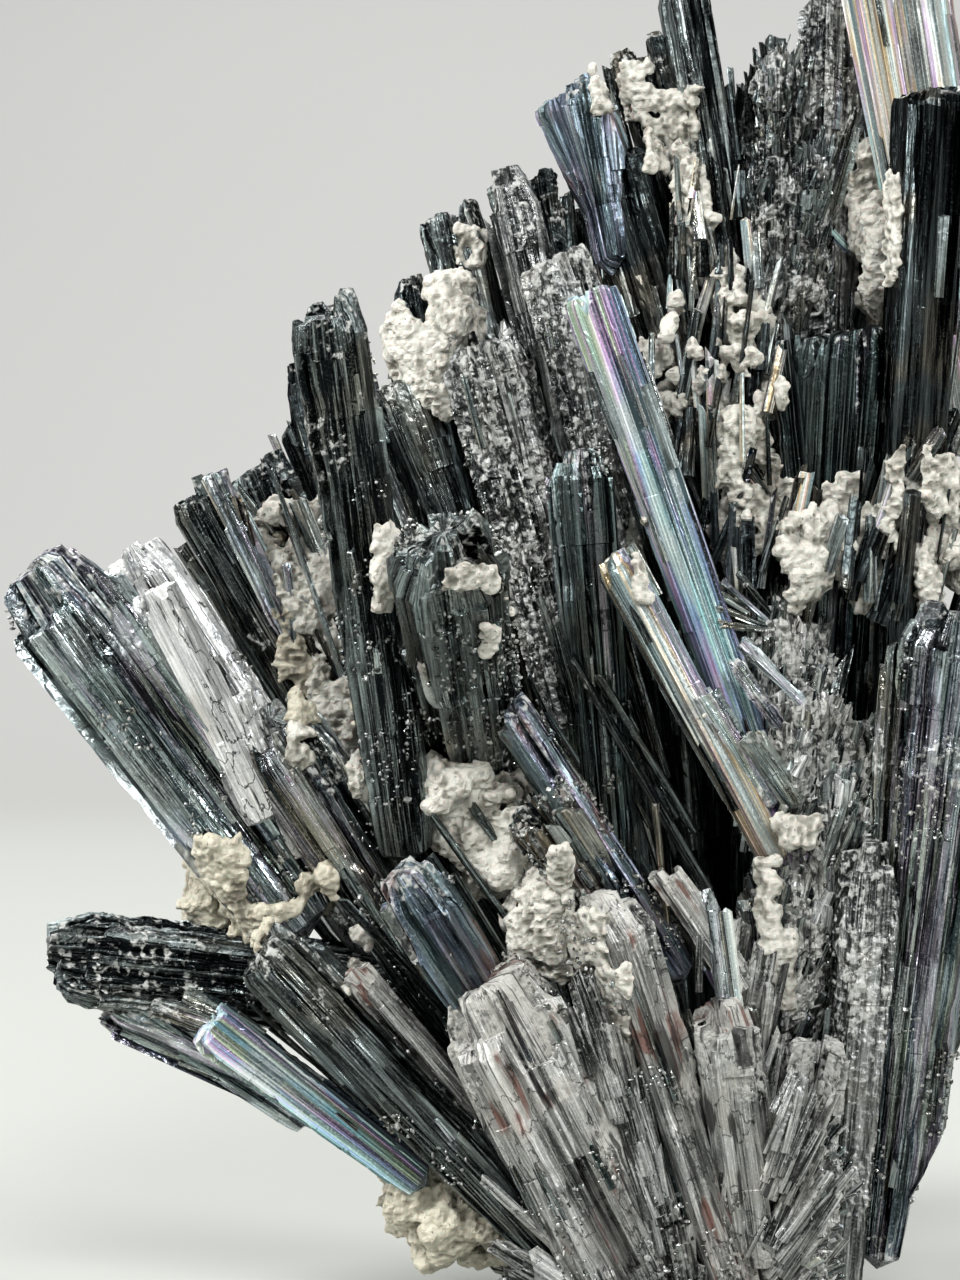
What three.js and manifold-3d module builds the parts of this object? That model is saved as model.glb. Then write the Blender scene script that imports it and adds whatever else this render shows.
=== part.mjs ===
// A stibnite crystal spray: striated metallic prisms that fan out from one granular root, with
// calcite grown into the gaps between them. Millimetres, +Z up. The origin is the centre of the
// flat cut that the spray rests on, -Y is the display side and +X is to its right.

import * as THREE from "three";
import { ConvexGeometry } from "three/addons/geometries/ConvexGeometry.js";
import { mergeVertices } from "three/addons/utils/BufferGeometryUtils.js";
import Module from "manifold-3d";

const wasm = await Module();
wasm.setup();

// ---- Driving dimensions ----------------------------------------------------------------------

const BASE_Z = 0; // the flat cut underneath
const BREAK_FOOT_X = 15.5; // where the slanting break under the right side meets the base
const BREAK_SLOPE = 2.05; // how steeply that break rises to the right
const GAP = 0.3; // left between neighbours that grew against each other
const DEEPER = new THREE.Vector3(0, 1, 0); // from the display side into the spray
const LUMPINESS = 0.16; // how far a grown mass bulges, as a share of its size

// A prism's section is a flattened octagon. These are its corners on one quarter, as shares of
// the half width and the half depth.
const WIDE_CORNER = [0.58, 1];
const NARROW_CORNER = [1, 0.42];

// How a prism ends: the length of its end as a share of the width, what is left there of the
// width and the depth, how far a break slopes across the width, and how wide its foot is as a
// share of its width. A bundle is many parallel prisms grown together, which spread like a fan.
const ENDS = {
  broken: { length: 0.3, width: 0.92, depth: 0.9, slope: 0.25, foot: 0.8 },
  blunt: { length: 0.5, width: 0.62, depth: 0.55, slope: 0.12, foot: 0.8 },
  chisel: { length: 0.5, width: 0.78, depth: 0.4, slope: 0.3, foot: 0.8 },
  spear: { length: 0.8, width: 0.45, depth: 0.4, slope: 0, foot: 0.8 },
  bundle: { length: 0.3, width: 0.82, depth: 0.6, slope: 0.2, foot: 0.45 },
};

const FINISHES = {
  dark: { color: 0x2b2e33, roughness: 0.35, metalness: 1 },
  bright: { color: 0x8f959c, roughness: 0.25, metalness: 1 },
  iridescent: { color: 0x5f8f9c, roughness: 0.22, metalness: 1 },
  frosted: { color: 0x8c8a88, roughness: 0.6, metalness: 0.6 },
  granular: { color: 0x5a5c60, roughness: 0.7, metalness: 0.5 },
  calcite: { color: 0xe8e4da, roughness: 0.7, metalness: 0 },
};

// Each crystal is [name, end, finish, tip, foot, width, depth, turn about its axis in degrees].
// An earlier crystal keeps its whole shape and a later one is cut back to clear it.

const DISPLAY_SIDE = [
  ["front_tall_crystal", "chisel", "dark", [-35.5, -27, 98], [-28.5, -12, 48], 7, 6, 15],
  ["front_round_crystal", "blunt", "granular", [-24.5, -34, 76], [-21, -5, 54], 11, 10, 0],
  ["blue_grey_low_crystal", "blunt", "bright", [-29, -21, 44.5], [-16, -13, 24], 7.4, 6, -12],
  ["frosted_low_crystal", "blunt", "frosted", [-21, -19, 34], [-5, -11, -1], 12.6, 9, 8],
  ["long_low_crystal", "broken", "dark", [-42.5, -17, 36.5], [-7, -11, 1], 7, 6.5, 20],
  ["middle_blue_crystal", "chisel", "bright", [-19.5, -17, 61], [-3, -12, 36], 4.8, 4.2, 20],
  ["middle_bronze_crystal", "broken", "frosted", [-16, -17, 51], [-5, -10, 36], 7.4, 5.4, 12],
  ["trunk_crystal", "blunt", "frosted", [-10.5, -17, 42], [3, -12, -1], 9.4, 8, 10],
  ["trunk_side_crystal", "chisel", "frosted", [1.5, -14, 31.5], [8, -9, -1], 7.6, 7, 25],
  ["right_big_crystal", "blunt", "bright", [24.5, -15, 70], [19.5, -7, 8], 9, 9, 18],
  ["right_lower_dark_crystal", "chisel", "dark", [16.5, -14, 47], [13.5, -7, -1], 6.5, 6.5, 12],
];

const LEFT_FAN = [
  ["left_big_crystal", "blunt", "bright", [-64, -16, 73.5], [-40, -8, 40], 11.4, 9.5, 18],
  ["left_low_dark_crystal", "blunt", "dark", [-63, -13, 35.5], [-27, -4, 31], 8.8, 8.5, 10],
  ["left_low_iridescent_crystal", "broken", "iridescent", [-47.5, -15, 29.5], [-29, -10, 15], 5.2, 4.6, 25],
  ["left_low_pale_crystal", "chisel", "bright", [-58, -9, 31], [-30, -5, 17], 5.4, 6, 10],
  ["left_second_crystal", "chisel", "bright", [-56, -9, 75], [-32, -4, 38], 8.4, 7, 10],
  ["left_inner_crystal", "chisel", "bright", [-43, -12, 59], [-22, -5, 27], 10, 8, 14],
  ["left_back_blade", "chisel", "dark", [-50, -4, 81.5], [-30, -1, 46], 6, 4.4, 10],
  ["left_ragged_crystal", "broken", "dark", [-43.5, 2, 84], [-28, 2, 50], 6.4, 5, 15],
  ["left_spiky_crystal", "spear", "dark", [-39.5, 6, 94.5], [-27, 5, 52], 5.4, 5, 20],
];

const UPPER_FAN = [
  ["centre_iridescent_crystal", "broken", "iridescent", [-10.5, -11, 100.5], [9, -8, 46], 5.6, 5.2, 22],
  ["centre_slender_crystal", "chisel", "iridescent", [-8.5, -13, 74.5], [6.5, -10.5, 47], 4.2, 3.8, 20],
  ["centre_teal_crystal", "blunt", "dark", [-11.5, -8, 85], [-7.5, -6, 40], 6.6, 6.4, 12],
  ["flat_top_crystal", "broken", "granular", [-13.5, -3, 104.5], [-5, -1, 72], 6.9, 6, 10],
  ["granular_left_crystal", "blunt", "granular", [-21.5, 1, 97.5], [-9, 0, 52], 8.6, 7.4, 15],
  ["tall_round_crystal", "spear", "dark", [-18.5, 4, 114], [-7, 4, 66], 5.8, 5.4, 10],
  ["upper_left_round_crystal", "blunt", "dark", [-27.5, 7, 103.5], [-17, 5, 62], 5.6, 5.4, 10],
  ["upper_left_dark_crystal", "broken", "dark", [-24.5, 11, 110.5], [-12, 9, 62], 6.4, 6, 10],
  ["back_dark_crystal", "broken", "dark", [-7.5, 6, 115.5], [9, 3, 62], 8.8, 7.4, 12],
  ["top_blue_crystal", "broken", "iridescent", [-12.5, 4, 122], [0, 5, 94], 7, 6, 18],
  ["top_shoulder_crystal", "broken", "dark", [-4.5, 10, 128], [7, 9, 88], 7, 6, 12],
  ["top_dark_crystal", "spear", "dark", [0.5, 8, 137], [10, 7, 80], 7.4, 6.6, 22],
];

const RIGHT_FAN = [
  ["right_black_crystal", "broken", "dark", [23.5, -6, 120.5], [20.5, -2, 50], 7.4, 7, 24],
  ["right_teal_crystal", "broken", "iridescent", [15.5, -2, 97], [13.5, 2, 42], 11, 8.5, 6],
  ["top_bright_crystal", "chisel", "bright", [20, 3, 138], [29, 5, 88], 10.4, 8.5, 14],
  ["top_granular_crystal", "spear", "granular", [16, 12, 137], [14, 9, 80], 7, 7, 10],
  ["right_edge_low_crystal", "blunt", "dark", [46, -9, 76], [19, -4, 19], 9, 8.5, 12],
  ["right_edge_middle_crystal", "blunt", "bright", [43, 0, 98], [19, 1, 30], 12, 10, 20],
];

const BACK_FAN = [
  ["back_left_bundle", "bundle", "dark", [-56, 12, 64], [-6, 8, 13], 14, 10, 8],
  ["back_upper_left_bundle", "bundle", "dark", [-47, 10, 79], [-5, 8, 15], 14, 9, 12],
  ["back_left_high_bundle", "bundle", "dark", [-35, 12, 90], [-4, 9, 15], 14, 10, 8],
  ["back_middle_bundle", "bundle", "bright", [-23, 15, 101], [-1, 10, 13], 14, 10, 12],
  ["back_top_bundle", "bundle", "dark", [-10.5, 16, 112], [2, 10, 13], 14, 10, 10],
  ["back_right_bundle", "bundle", "dark", [5.5, 18, 119], [5, 11, 13], 15, 10, 6],
  ["back_far_right_bundle", "bundle", "bright", [25, 17, 118], [9, 9, 14], 17, 12, 12],
  ["rear_left_bundle", "bundle", "dark", [-27, 30, 67], [-3, 13, 1], 24, 15, 14],
  ["rear_right_bundle", "bundle", "bright", [14, 32, 80], [5, 13, 1], 24, 15, -10],
];

// Each grown mass is [name, finish, lobes], and a lobe is [centre, half sizes along x, y and z].
// A mass fills what the crystals, and the masses before it, leave free.

const MASSES = [
  ["root_mass", "granular", [
    [[9, -6, 14], [8, 9, 13]],
    [[1, 3, 5], [15, 17, 10]],
    [[-13, 0, 5], [6, 13, 7]],
  ]],
  ["granular_mass", "granular", [
    [[8, -5, 63], [6, 6, 7]],
    [[10, -5, 54], [7, 7, 10]],
    [[17, -5, 46], [8, 8, 11]],
    [[11, -5, 36], [7, 8, 10]],
  ]],
  ["top_granular_mass", "granular", [
    [[9.5, 10, 120], [5, 6, 6]],
    [[9.5, 8, 111], [5, 6, 9]],
    [[10, 6, 101], [4.5, 6, 9]],
  ]],
  ["calcite_underside", "calcite", [
    [[-27, -4, 12.5], [4.5, 7, 5.5]],
    [[-22.5, -3, 8.5], [6, 8, 4.5]],
  ]],
  ["calcite_left_gap", "calcite", [[[-45.5, -3, 40.5], [5.5, 6, 7]]]],
  ["calcite_left_drape", "calcite", [
    [[-39, 0, 72], [4.5, 5, 8.5]],
    [[-35, -1, 61], [4.5, 5, 8]],
  ]],
  ["calcite_upper_left", "calcite", [
    [[-24.5, 5, 95], [4.5, 5, 9]],
    [[-21, 0, 84], [3.5, 4, 8]],
  ]],
  ["calcite_top_drape", "calcite", [
    [[-4.5, 7, 118.5], [5, 6, 8]],
    [[1, 3, 108], [5, 6, 9]],
    [[5, 0, 98], [4.5, 5, 9]],
  ]],
  ["calcite_middle_strip", "calcite", [
    [[-3, -3, 90], [4, 5, 10]],
    [[5, -3, 87], [5.5, 5, 11]],
    [[6, -4, 76], [6, 5, 8]],
  ]],
  ["calcite_right_notch", "calcite", [[[20, 8, 107], [4.5, 7, 10]]]],
  ["calcite_right_face", "calcite", [
    [[23.5, -4, 78], [6, 6, 9]],
    [[15, -6, 74], [8, 5, 6]],
  ]],
  ["calcite_cavity", "calcite", [
    [[-27, -10, 52], [7, 5, 4]],
    [[-20, -9, 47], [5.5, 5, 7]],
  ]],
  ["calcite_boot", "calcite", [[[-13, -11, 39], [5, 5, 7.5]]]],
];

// ---- Solids ----------------------------------------------------------------------------------

function solidOf(geometry) {
  geometry.deleteAttribute("normal");
  geometry.deleteAttribute("uv");
  const merged = mergeVertices(geometry, 1e-4);
  return new wasm.Manifold(
    new wasm.Mesh({
      numProp: 3,
      vertProperties: merged.attributes.position.array,
      triVerts: new Uint32Array(merged.index.array),
    }),
  );
}

function geometryOf(solid) {
  const mesh = solid.getMesh();
  const geometry = new THREE.BufferGeometry();
  geometry.setAttribute("position", new THREE.BufferAttribute(mesh.vertProperties, 3));
  geometry.setIndex(new THREE.BufferAttribute(mesh.triVerts, 1));
  geometry.computeVertexNormals();
  return geometry;
}

// The eight corners of a prism's section at a height along its axis. The slope tilts the section
// across its width, so that a broken end isn't square to the axis.
function section(width, depth, height, slope) {
  const quarter = [NARROW_CORNER, WIDE_CORNER];
  const corners = [];
  for (const [across, through] of quarter)
    for (const signX of [1, -1])
      for (const signY of [1, -1]) {
        const x = (signX * across * width) / 2;
        corners.push(new THREE.Vector3(x, (signY * through * depth) / 2, height + slope * x));
      }
  return corners;
}

// The matrix that lays a prism, made along +Z from the origin, from its foot to its tip with its
// width across the view from the display side.
function placement(tip, foot, turn) {
  const along = tip.clone().sub(foot).normalize();
  const across = DEEPER.clone().cross(along).normalize();
  const through = along.clone().cross(across);
  return new THREE.Matrix4()
    .makeBasis(across, through, along)
    .setPosition(foot)
    .multiply(new THREE.Matrix4().makeRotationZ(THREE.MathUtils.degToRad(turn)));
}

// A prism, grown outwards on every side by `extra`.
function prism([, endName, , tipAt, footAt, width, depth, turn], extra) {
  const end = ENDS[endName];
  const tip = new THREE.Vector3(...tipAt);
  const foot = new THREE.Vector3(...footAt);
  const length = tip.distanceTo(foot);
  const wide = width + 2 * extra;
  const deep = depth + 2 * extra;
  const corners = [
    ...section(wide * end.foot, deep * end.foot, -extra, 0),
    ...section(wide, deep, length - end.length * width, 0),
    ...section(wide * end.width, deep * end.depth, length + extra, end.slope),
  ];
  const geometry = new ConvexGeometry(corners);
  return solidOf(geometry.applyMatrix4(placement(tip, foot, turn)));
}

// A lumpy ball, grown by `extra`: each corner of an icosphere moves in or out by a smooth,
// repeatable amount.
function lump([centre, half], seed, extra) {
  const geometry = new THREE.IcosahedronGeometry(1, 1);
  const corners = geometry.attributes.position;
  const size = new THREE.Vector3(...half).addScalar(extra);
  const corner = new THREE.Vector3();
  for (let i = 0; i < corners.count; i++) {
    corner.fromBufferAttribute(corners, i);
    const wave =
      Math.sin(5.1 * corner.x + seed) +
      Math.sin(4.3 * corner.y + 2.3 * seed) * Math.cos(3.7 * corner.z - seed);
    corner.multiplyScalar(1 + LUMPINESS * wave);
    corner.multiply(size);
    corners.setXYZ(i, corner.x, corner.y, corner.z);
  }
  return solidOf(geometry.translate(...centre));
}

function boxesMeet(a, b) {
  return [0, 1, 2].every((i) => a.min[i] < b.max[i] && b.min[i] < a.max[i]);
}

// The solid less every obstacle that reaches it, and less what lies under the base cut and the
// slanting break.
function cleared(solid, obstacles) {
  const box = solid.boundingBox();
  const near = obstacles.filter((obstacle) => boxesMeet(box, obstacle.boundingBox()));
  const cut = near.reduce((rest, obstacle) => rest.subtract(obstacle), solid);
  return cut
    .trimByPlane([0, 0, 1], BASE_Z)
    .trimByPlane([-BREAK_SLOPE, 0, 1], -BREAK_SLOPE * BREAK_FOOT_X / Math.hypot(BREAK_SLOPE, 1));
}

// Of a cut crystal's bodies, the one that still has its tip.
function bodyAtTip(solid, tipAt) {
  const tip = new THREE.Vector3(...tipAt);
  const corner = new THREE.Vector3();
  const reach = (body) => {
    const { vertProperties: at } = body.getMesh();
    let nearest = Infinity;
    for (let i = 0; i < at.length; i += 3)
      nearest = Math.min(nearest, corner.fromArray(at, i).distanceTo(tip));
    return nearest;
  };
  return solid.decompose().sort((a, b) => reach(a) - reach(b))[0];
}

function largestBody(solid) {
  return solid.decompose().sort((a, b) => b.volume() - a.volume())[0];
}

// ---- The spray -------------------------------------------------------------------------------

function namedMesh(name, finish, solid) {
  const mesh = new THREE.Mesh(
    geometryOf(solid),
    new THREE.MeshStandardMaterial({ name: finish, ...FINISHES[finish] }),
  );
  mesh.name = name;
  return mesh;
}

const spray = new THREE.Group();
const grownCrystals = [];

for (const fan of [DISPLAY_SIDE, LEFT_FAN, UPPER_FAN, RIGHT_FAN, BACK_FAN]) {
  const group = new THREE.Group();
  for (const crystal of fan) {
    const [name, , finish, tip] = crystal;
    const solid = bodyAtTip(cleared(prism(crystal, 0), grownCrystals), tip);
    grownCrystals.push(prism(crystal, GAP));
    group.add(namedMesh(name, finish, solid));
  }
  spray.add(group);
}

const masses = new THREE.Group();
const grownMasses = [];
MASSES.forEach(([name, finish, lobes], seed) => {
  const joined = (extra) =>
    lobes.map((lobe, i) => lump(lobe, seed + i, extra)).reduce((sum, one) => sum.add(one));
  const solid = largestBody(cleared(joined(0), [...grownCrystals, ...grownMasses]));
  grownMasses.push(joined(GAP));
  masses.add(namedMesh(name, finish, solid));
});
spray.add(masses);

export default spray;
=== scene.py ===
"""Looks for a stibnite crystal spray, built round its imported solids.

Each crystal node is replaced by a striated prism that is worked out from the node's own solid: growth
ridges run along it, laths break off at different heights at its tip, and grains roughen its worn parts.
The calcite and the granular masses get ragged, lumpy skins with tiny crystals grown on them. Lengths in
the classes are millimetres, and every mesh is turned into metres when it is made.
"""

import logging
import math
from dataclasses import dataclass, field, replace
from enum import Enum

import bmesh
import bpy
import numpy as np
from mathutils import Matrix, Vector


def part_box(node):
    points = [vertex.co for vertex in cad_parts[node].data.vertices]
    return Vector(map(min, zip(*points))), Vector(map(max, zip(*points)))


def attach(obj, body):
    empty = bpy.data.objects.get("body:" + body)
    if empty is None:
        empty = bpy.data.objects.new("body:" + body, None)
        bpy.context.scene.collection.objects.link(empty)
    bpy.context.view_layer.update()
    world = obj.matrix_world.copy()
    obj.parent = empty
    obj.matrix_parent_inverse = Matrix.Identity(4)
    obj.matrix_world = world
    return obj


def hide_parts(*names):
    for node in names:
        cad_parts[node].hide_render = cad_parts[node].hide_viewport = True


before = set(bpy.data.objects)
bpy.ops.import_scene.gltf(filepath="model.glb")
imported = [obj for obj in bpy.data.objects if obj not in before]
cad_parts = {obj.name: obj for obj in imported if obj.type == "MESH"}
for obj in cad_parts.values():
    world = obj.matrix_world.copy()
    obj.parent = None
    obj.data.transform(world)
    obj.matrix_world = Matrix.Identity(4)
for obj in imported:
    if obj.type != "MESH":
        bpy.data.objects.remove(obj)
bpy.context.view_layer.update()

MM = 0.001
FLOOR_GAP = 0.02  # nothing comes nearer to the floor than this
ROOT_POINT = np.array([0.0, 2.0, 4.0])  # every crystal points away from here
LUMP_CORNERS = 12  # vertices of one small lump or grain
STRIAE_UV = "striae"  # millimetres round and along each crystal
LOG = logging.getLogger("stibnite")

# Where the numbers that start each kind of random pattern begin.
SEEDS = {
    "crystal": 1, "laths": 31, "extra": 101, "granular": 200, "druse": 230, "lumps": 240, "calcite": 260,
    "white chips": 290, "cream chips": 294, "grains": 300, "splinters": 310,
}


# ---- Colours and small helpers -----------------------------------------------------------------


def srgb(code: str) -> tuple[float, float, float, float]:
    """A hex colour as linear red, green, blue and alpha.

    Args:
        code: the colour as "#rrggbb".

    Returns:
        Linear red, green, blue and alpha.
    """
    parts = [int(code[i : i + 2], 16) / 255 for i in (1, 3, 5)]
    linear = [p / 12.92 if p <= 0.04045 else ((p + 0.055) / 1.055) ** 2.4 for p in parts]
    return (linear[0], linear[1], linear[2], 1.0)


def smooth_noise(points: np.ndarray, size: float, seed: int) -> np.ndarray:
    """Smooth noise between -1 and 1.

    Args:
        points: positions, one row each, in millimetres.
        size: how far apart the bumps are, in millimetres.
        seed: picks one of many patterns.

    Returns:
        One value for each point.
    """
    scaled = points / size
    cell = np.floor(scaled).astype(np.int64)
    part = scaled - cell
    part = part * part * (3 - 2 * part)
    total = np.zeros(len(points))
    for corner in np.ndindex(2, 2, 2):
        at = cell + np.array(corner)
        mixed = (at[:, 0] * 73856093) ^ (at[:, 1] * 19349663) ^ (at[:, 2] * 83492791) ^ (seed * 97531)
        mixed = ((mixed ^ (mixed >> 13)) * 1274126177) & 0xFFFFFFFF
        value = ((mixed ^ (mixed >> 15)) & 0xFFFF) / 32767.5 - 1
        total += value * np.prod(np.where(corner, part, 1 - part), axis=1)
    return total


def unit(vectors: np.ndarray) -> np.ndarray:
    """Each row, or a single vector, at length 1."""
    return vectors / np.maximum(np.linalg.norm(vectors, axis=-1, keepdims=True), 1e-9)


def vertex_rows(mesh: bpy.types.Mesh, values: str = "vertices", key: str = "co") -> np.ndarray:
    """A mesh's vertices, or their normals, one row each.

    Args:
        mesh: the mesh.
        values: "vertices" or "vertex_normals".
        key: "co" or "vector".

    Returns:
        One row of three numbers for each vertex.
    """
    flat = np.empty(len(mesh.vertices) * 3)
    getattr(mesh, values).foreach_get(key, flat)
    return flat.reshape(-1, 3)


def place_vertices(mesh: bpy.types.Mesh, points: np.ndarray) -> None:
    """Moves a mesh's vertices to points in millimetres, and none of them under the floor."""
    points[:, 2] = np.maximum(points[:, 2], FLOOR_GAP)
    mesh.vertices.foreach_set("co", (points * MM).astype(np.float32).ravel())


def corner_vertices(mesh: bpy.types.Mesh) -> np.ndarray:
    """The number of the vertex at each face corner.

    Args:
        mesh: the mesh.

    Returns:
        One number for each face corner.
    """
    corner = np.empty(len(mesh.loops), dtype=int)
    mesh.loops.foreach_get("vertex_index", corner)
    return corner


def lay_map(mesh: bpy.types.Mesh, places: np.ndarray) -> None:
    """Writes the map that the striae follow, and ends the mesh.

    Args:
        mesh: the mesh.
        places: millimetres round and along, one row for each face corner.
    """
    uv = mesh.uv_layers.get(STRIAE_UV) or mesh.uv_layers.new(name=STRIAE_UV)
    uv.data.foreach_set("uv", places.astype(np.float32).ravel())
    mesh.shade_flat()
    mesh.update()


def merged_copy(node: str) -> bmesh.types.BMesh:
    """A CAD node's solid with its loose triangles joined up.

    Args:
        node: the CAD node's name.

    Returns:
        A new bmesh in metres, which the caller frees.
    """
    bm = bmesh.new()
    bm.from_mesh(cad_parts[node].data)
    bmesh.ops.remove_doubles(bm, verts=bm.verts, dist=2e-6)
    return bm


def middle_of(node: str) -> np.ndarray:
    """The middle of a CAD node's box, in millimetres."""
    low, high = (np.array(corner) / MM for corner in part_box(node))
    return (low + high) / 2


def copies(bm: bmesh.types.BMesh, count: int, name: str) -> bpy.types.Mesh:
    """Many copies of one small solid in a mesh, each a run of neighbouring vertices.

    Args:
        bm: the solid, which is freed here.
        count: how many copies.
        name: the mesh's name.

    Returns:
        The mesh, with every copy in the same place.
    """
    mesh = bpy.data.meshes.new(name)
    bm.to_mesh(mesh)
    bm.clear()
    bm.from_mesh(mesh)
    per = len(bm.verts)
    while len(bm.verts) < per * count:
        bmesh.ops.duplicate(bm, geom=bm.verts[:] + bm.edges[:] + bm.faces[:])
    bmesh.ops.delete(bm, geom=bm.verts[:][per * count :], context="VERTS")
    bm.to_mesh(mesh)
    bm.free()
    return mesh


def set_point_values(mesh: bpy.types.Mesh, **values: np.ndarray) -> None:
    """Stores numbers on a mesh, one for each vertex.

    Args:
        mesh: the mesh.
        values: the numbers, or one number for them all, under the name that materials read.
    """
    for name, numbers in values.items():
        numbers = np.broadcast_to(numbers, len(mesh.vertices)).astype(np.float32)
        mesh.attributes.new(name, "FLOAT", "POINT").data.foreach_set("value", numbers)


# ---- Finishes ----------------------------------------------------------------------------------


class Tree:
    """A material's node tree, with one short call to add a node."""

    def __init__(self, name: str) -> None:
        """Starts a material with an empty tree.

        Args:
            name: the material's name.
        """
        self.material = bpy.data.materials.new(name)
        self.material.use_nodes = True
        self.nodes = self.material.node_tree.nodes
        self.links = self.material.node_tree.links
        self.nodes.clear()

    def add(self, kind: str, inputs: dict | None = None, **settings) -> bpy.types.Node:
        """Adds a node.

        Args:
            kind: the node's type without "ShaderNode".
            inputs: socket name or number to a value or to another node's output socket.
            settings: the node's own properties.

        Returns:
            The node.
        """
        node = self.nodes.new("ShaderNode" + kind)
        for key, value in settings.items():
            setattr(node, key, value)
        for key, value in (inputs or {}).items():
            if isinstance(value, bpy.types.NodeSocket):
                self.links.new(value, node.inputs[key])
            else:
                node.inputs[key].default_value = value
        return node

    def math(self, operation: str, *values, clamp: bool = False) -> bpy.types.NodeSocket:
        """The result of a Math node on numbers or sockets."""
        node = self.add("Math", dict(enumerate(values)), operation=operation, use_clamp=clamp)
        return node.outputs[0]

    def times(self, first, second) -> bpy.types.NodeSocket:
        """The product of two numbers or sockets."""
        return self.math("MULTIPLY", first, second)

    def scaled(self, value, gain, offset) -> bpy.types.NodeSocket:
        """A value times a gain, plus an offset."""
        return self.math("MULTIPLY_ADD", value, gain, offset)

    def mix(self, factor, first, second, blend: str = "MIX") -> bpy.types.NodeSocket:
        """The colour that a Mix node gives."""
        node = self.add("Mix", {0: factor, 6: first, 7: second}, data_type="RGBA", blend_type=blend)
        return node.outputs[2]

    def ramp(self, factor, stops: tuple[tuple[float, str], ...]) -> bpy.types.NodeSocket:
        """The colour that a ColorRamp gives.

        Args:
            factor: the socket that drives it.
            stops: positions and hex colours, in order.

        Returns:
            The colour socket.
        """
        node = self.add("ValToRGB", {"Fac": factor})
        elements = node.color_ramp.elements
        while len(elements) < len(stops):
            elements.new(1.0)
        for element, (position, code) in zip(elements, stops):
            element.position = position
            element.color = srgb(code)
        return node.outputs["Color"]

    def step(self, value, low: float, high: float) -> bpy.types.NodeSocket:
        """A smooth rise from 0 to 1 as a value goes from low to high.

        Args:
            value: the socket.
            low: where the rise starts.
            high: where it ends.

        Returns:
            A socket from 0 to 1.
        """
        node = self.add(
            "MapRange", {"Value": value, "From Min": low, "From Max": high}, interpolation_type="SMOOTHSTEP"
        )
        return node.outputs["Result"]

    def noise(self, vector, size: tuple[float, float, float], detail: float = 3.0) -> bpy.types.NodeSocket:
        """Noise with bumps of the given size.

        Args:
            vector: the coordinates.
            size: the bumps' size along each axis, in the coordinates' own unit.
            detail: how many finer layers it has.

        Returns:
            A socket from 0 to 1.
        """
        scaled = self.add("Mapping", {"Vector": vector, "Scale": tuple(1 / s for s in size)})
        made = self.add("TexNoise", {"Vector": scaled.outputs[0], "Scale": 1.0, "Detail": detail})
        return made.outputs["Fac"]

    def attribute(self, name: str) -> bpy.types.NodeSocket:
        """A number stored on the mesh."""
        return self.add("Attribute", attribute_name=name).outputs["Fac"]

    def bump(self, height, distance: float) -> bpy.types.NodeSocket:
        """The normal that a height gives, where a height of 1 is a distance in metres."""
        return self.add("Bump", {"Height": height, "Distance": distance, "Strength": 1.0}).outputs[0]

    def output(self, inputs: dict) -> bpy.types.Material:
        """Ends the tree with its surface.

        Args:
            inputs: the Principled BSDF node's sockets and their values.

        Returns:
            The material.
        """
        surface = self.add("BsdfPrincipled", inputs)
        self.add("OutputMaterial", {"Surface": surface.outputs[0]})
        return self.material


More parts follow.
